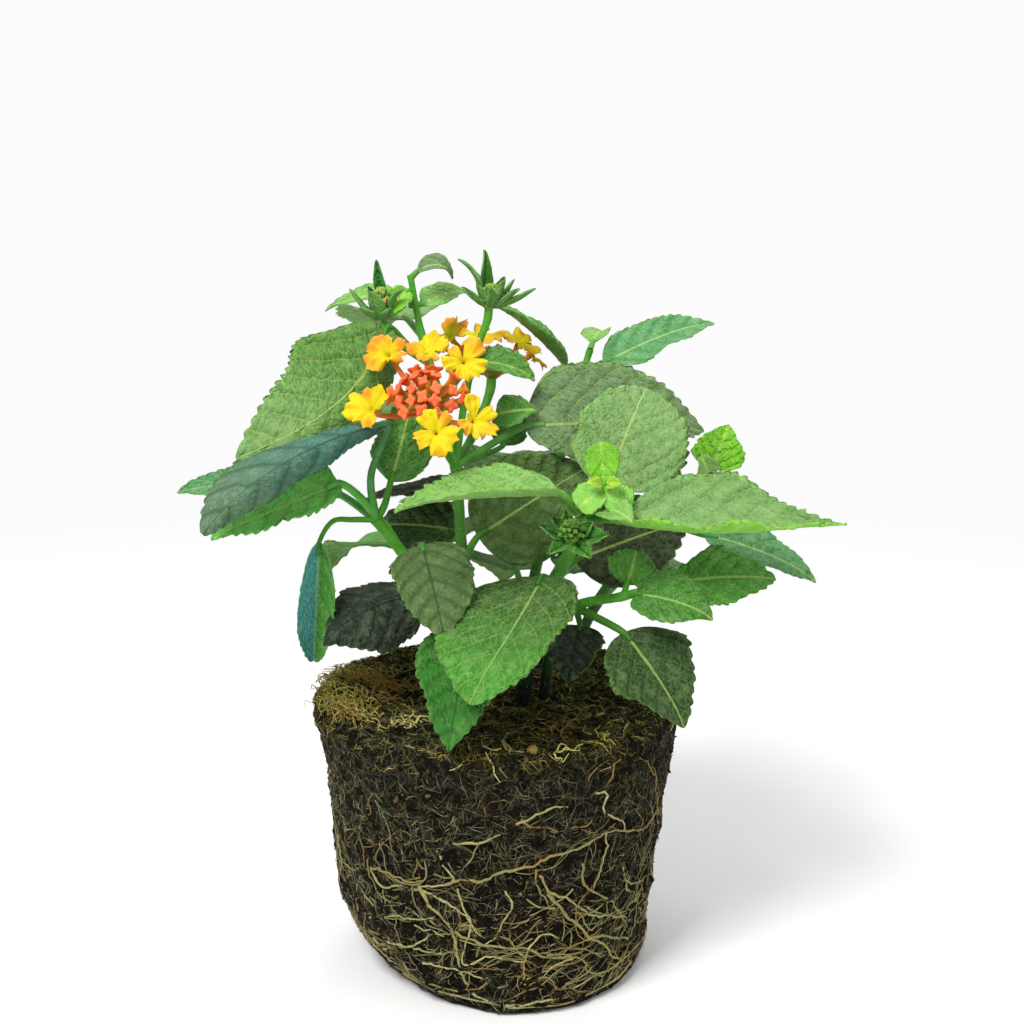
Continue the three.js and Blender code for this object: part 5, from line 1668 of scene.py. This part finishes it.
def curled_fibre(x, y, spread, thick, tone, dice):
    """One curled fibre that lies on the top of the ball."""
    heading = dice.uniform(0, math.tau)
    place = np.array([x + dice.gauss(0, spread), y + dice.gauss(0, spread), BALL_HEIGHT + 0.6])
    points = []
    for _ in range(dice.randint(4, 7)):
        points.append(tuple(place))
        heading += dice.gauss(0, 0.9)
        place = place + 1.5 * np.array([math.cos(heading), math.sin(heading), 0])
        place[2] = BALL_HEIGHT + 0.6 + dice.uniform(0, 1.6) + heap_height(place[0], place[1])
    places, marks = smooth_path(points, 0.8)
    shades = mixed(tone, paint(96, 84, 40), 0.5 * np.sin(5 * marks + heading) ** 2)
    return places, thick * (1.1 - 0.6 * marks), shades


def pebble(skin):
    """A small ochre clay pebble."""
    sides, rings = 30, 18
    points = []
    for step in range(rings):
        lean = math.pi * (step + 0.3) / (rings - 0.4)
        for bearing in np.linspace(0, math.tau, sides, endpoint=False):
            way = Vector(leaning(bearing, lean))
            size = PEBBLE_RADIUS * (1 + 0.2 * noise.noise(way * 2.1) + 0.16 * noise.noise(way * 6))
            points.append(np.array(PEBBLE_PLACE) + np.array(way) * size)
    faces = shell_faces(rings, sides, downward=True)
    skin.add(points, faces, [0] * len(faces), tone=np.broadcast_to(PEBBLE_TONE, (len(points), 4)))


def litter():
    """The fibres, twigs and pebble that lie on the rim."""
    dice = random.Random(11)
    paths = []
    for x, y, spread, count, thick, tone in TUFTS:
        paths += [curled_fibre(x, y, spread, thick, tone, dice) for _ in range(count)]
    strands = tubes("rim_strands", paths, 6, ROOT_SKIN)
    skin = Skin()
    pebble(skin)
    return joined("rim_litter", [skin.build("pebble", [ROOT_SKIN]), strands])


# ---------------------------------------------------------------- stage


CAMERA_PLACE = (0, -0.415, 0.225)
CAMERA_DOWN = 13.2
CAMERA_ASIDE = -0.6
LENS = 54.95
FLOOR_REACH = 6.0
FLOOR_Z = -0.0004
# In metres and watts: (place, point it looks at, size, power)
LIGHTS = {
    "key": ((-0.4, -0.55, 0.95), (0, 0, 0.12), 0.4, 11.5),
    "fill": ((0.8, -0.5, 0.5), (0, 0, 0.1), 0.6, 2.0),
    "top": ((0.15, 0.4, 1.0), (0, 0, 0.1), 0.6, 4.0),
}


def add_camera():
    """The view: from the front, a little above, with a long lens."""
    data = bpy.data.cameras.new("view")
    data.sensor_width = 36
    data.lens = LENS
    made = add_object("view", data)
    made.location = CAMERA_PLACE
    made.rotation_euler = (math.radians(90 - CAMERA_DOWN), 0, math.radians(CAMERA_ASIDE))
    bpy.context.scene.camera = made


def add_light(name, place, target, size, power):
    """A soft square light that looks at a point."""
    data = bpy.data.lights.new(name, "AREA")
    data.shape = "SQUARE"
    data.size = size
    data.energy = power
    made = add_object(name, data)
    made.location = place
    way = Vector(target) - Vector(place)
    made.rotation_euler = way.to_track_quat("-Z", "Y").to_euler()


def add_stage():
    """Pale floor, even sky and soft lights."""
    mesh = bpy.data.meshes.new("floor")
    corners = [(FLOOR_REACH * x, FLOOR_REACH * y, FLOOR_Z) for x, y in ((-1, -1), (1, -1), (1, 1), (-1, 1))]
    mesh.from_pydata(corners, [], [(0, 1, 2, 3)])
    mesh.materials.append(floor_finish())
    add_object("floor", mesh)
    world = bpy.data.worlds.new("sky")
    world.use_nodes = True
    tree = world.node_tree
    backdrop = tree.nodes["Background"]
    backdrop.inputs["Color"].default_value = (1, 1, 1, 1)
    seen = wire(tree, "ShaderNodeLightPath").outputs["Is Camera Ray"]
    strength = maths(tree, "MULTIPLY_ADD", seen, SKY_WHITE - SKY_LIGHT, SKY_LIGHT)
    tree.links.new(strength, backdrop.inputs["Strength"])
    bpy.context.scene.world = world
    for name, facts in LIGHTS.items():
        add_light(name, *facts)
    bpy.context.scene.view_settings.view_transform = "Standard"


# ---------------------------------------------------------------- making the plant

add_camera()
add_stage()

for order, (stem, facts) in enumerate(STEMS.items(), 1):
    dress(leafy_stem(stem, facts, order), "leaf", stem)

dress(open_head("front_head", FRONT_FLORETS, seed=100), "petal_yellow", "front_head_florets")
dress(bud_dome("front_head", FRONT_BUDS, length=12.8, radius=3.9, ripeness=(0.0, 0.25), seed=200),
      "bud_coral", "front_head_buds")
dress(open_head("rear_head", rear_rows(ring=14, height=9.6, seed=7), seed=300),
      "petal_orange", "rear_head_florets")
dress(bud_dome("rear_head", REAR_BUDS, length=8.6, radius=3.0, ripeness=(0.5, 0.9), seed=400),
      "bud_coral", "rear_head_buds")
for head, facts in BUD_HEADS.items():
    dress(bud_head(head, *facts), "bud_green", head)

ball = peat_ball()
for layer, (length, hug, seed) in FIBRE_LAYERS.items():
    dress(grown(layer, ball, STRANDS, Density=5e5, Length=length * MM, Thickness=0.13 * MM,
                Wiggle=6 * MM, Lift=0.3, Hug=hug, Bends=3, Seed=seed, Material=FIBRE), "peat")
dress(grown("peat_crumbs", ball, CRUMBS, Density=7e4, Radius=0.7 * MM, Seed=2, Material=CRUMB), "peat")
moss_ground = ground_for(ball, "moss_ground", moss_cover)
dress(grown("moss_strands", moss_ground, STRANDS, Density=1.4e6, Length=4 * MM, Thickness=0.14 * MM,
            Wiggle=8 * MM, Lift=0.7, Hug=0.3, Bends=3, Seed=3, Material=MOSS), "peat")
straw_ground = ground_for(ball, "straw_ground", straw_cover)
dress(grown("straw_litter", straw_ground, STRANDS, Density=2.2e4, Length=7 * MM, Thickness=0.2 * MM,
            Wiggle=5 * MM, Lift=0.3, Hug=0.25, Bends=5, Seed=4, Material=STRAW), "peat")
dress(litter(), "peat")
bpy.data.objects.remove(moss_ground)
bpy.data.objects.remove(straw_ground)
dress(ball, "peat", "root_ball")
dress(root_web(), "root", "root_net")
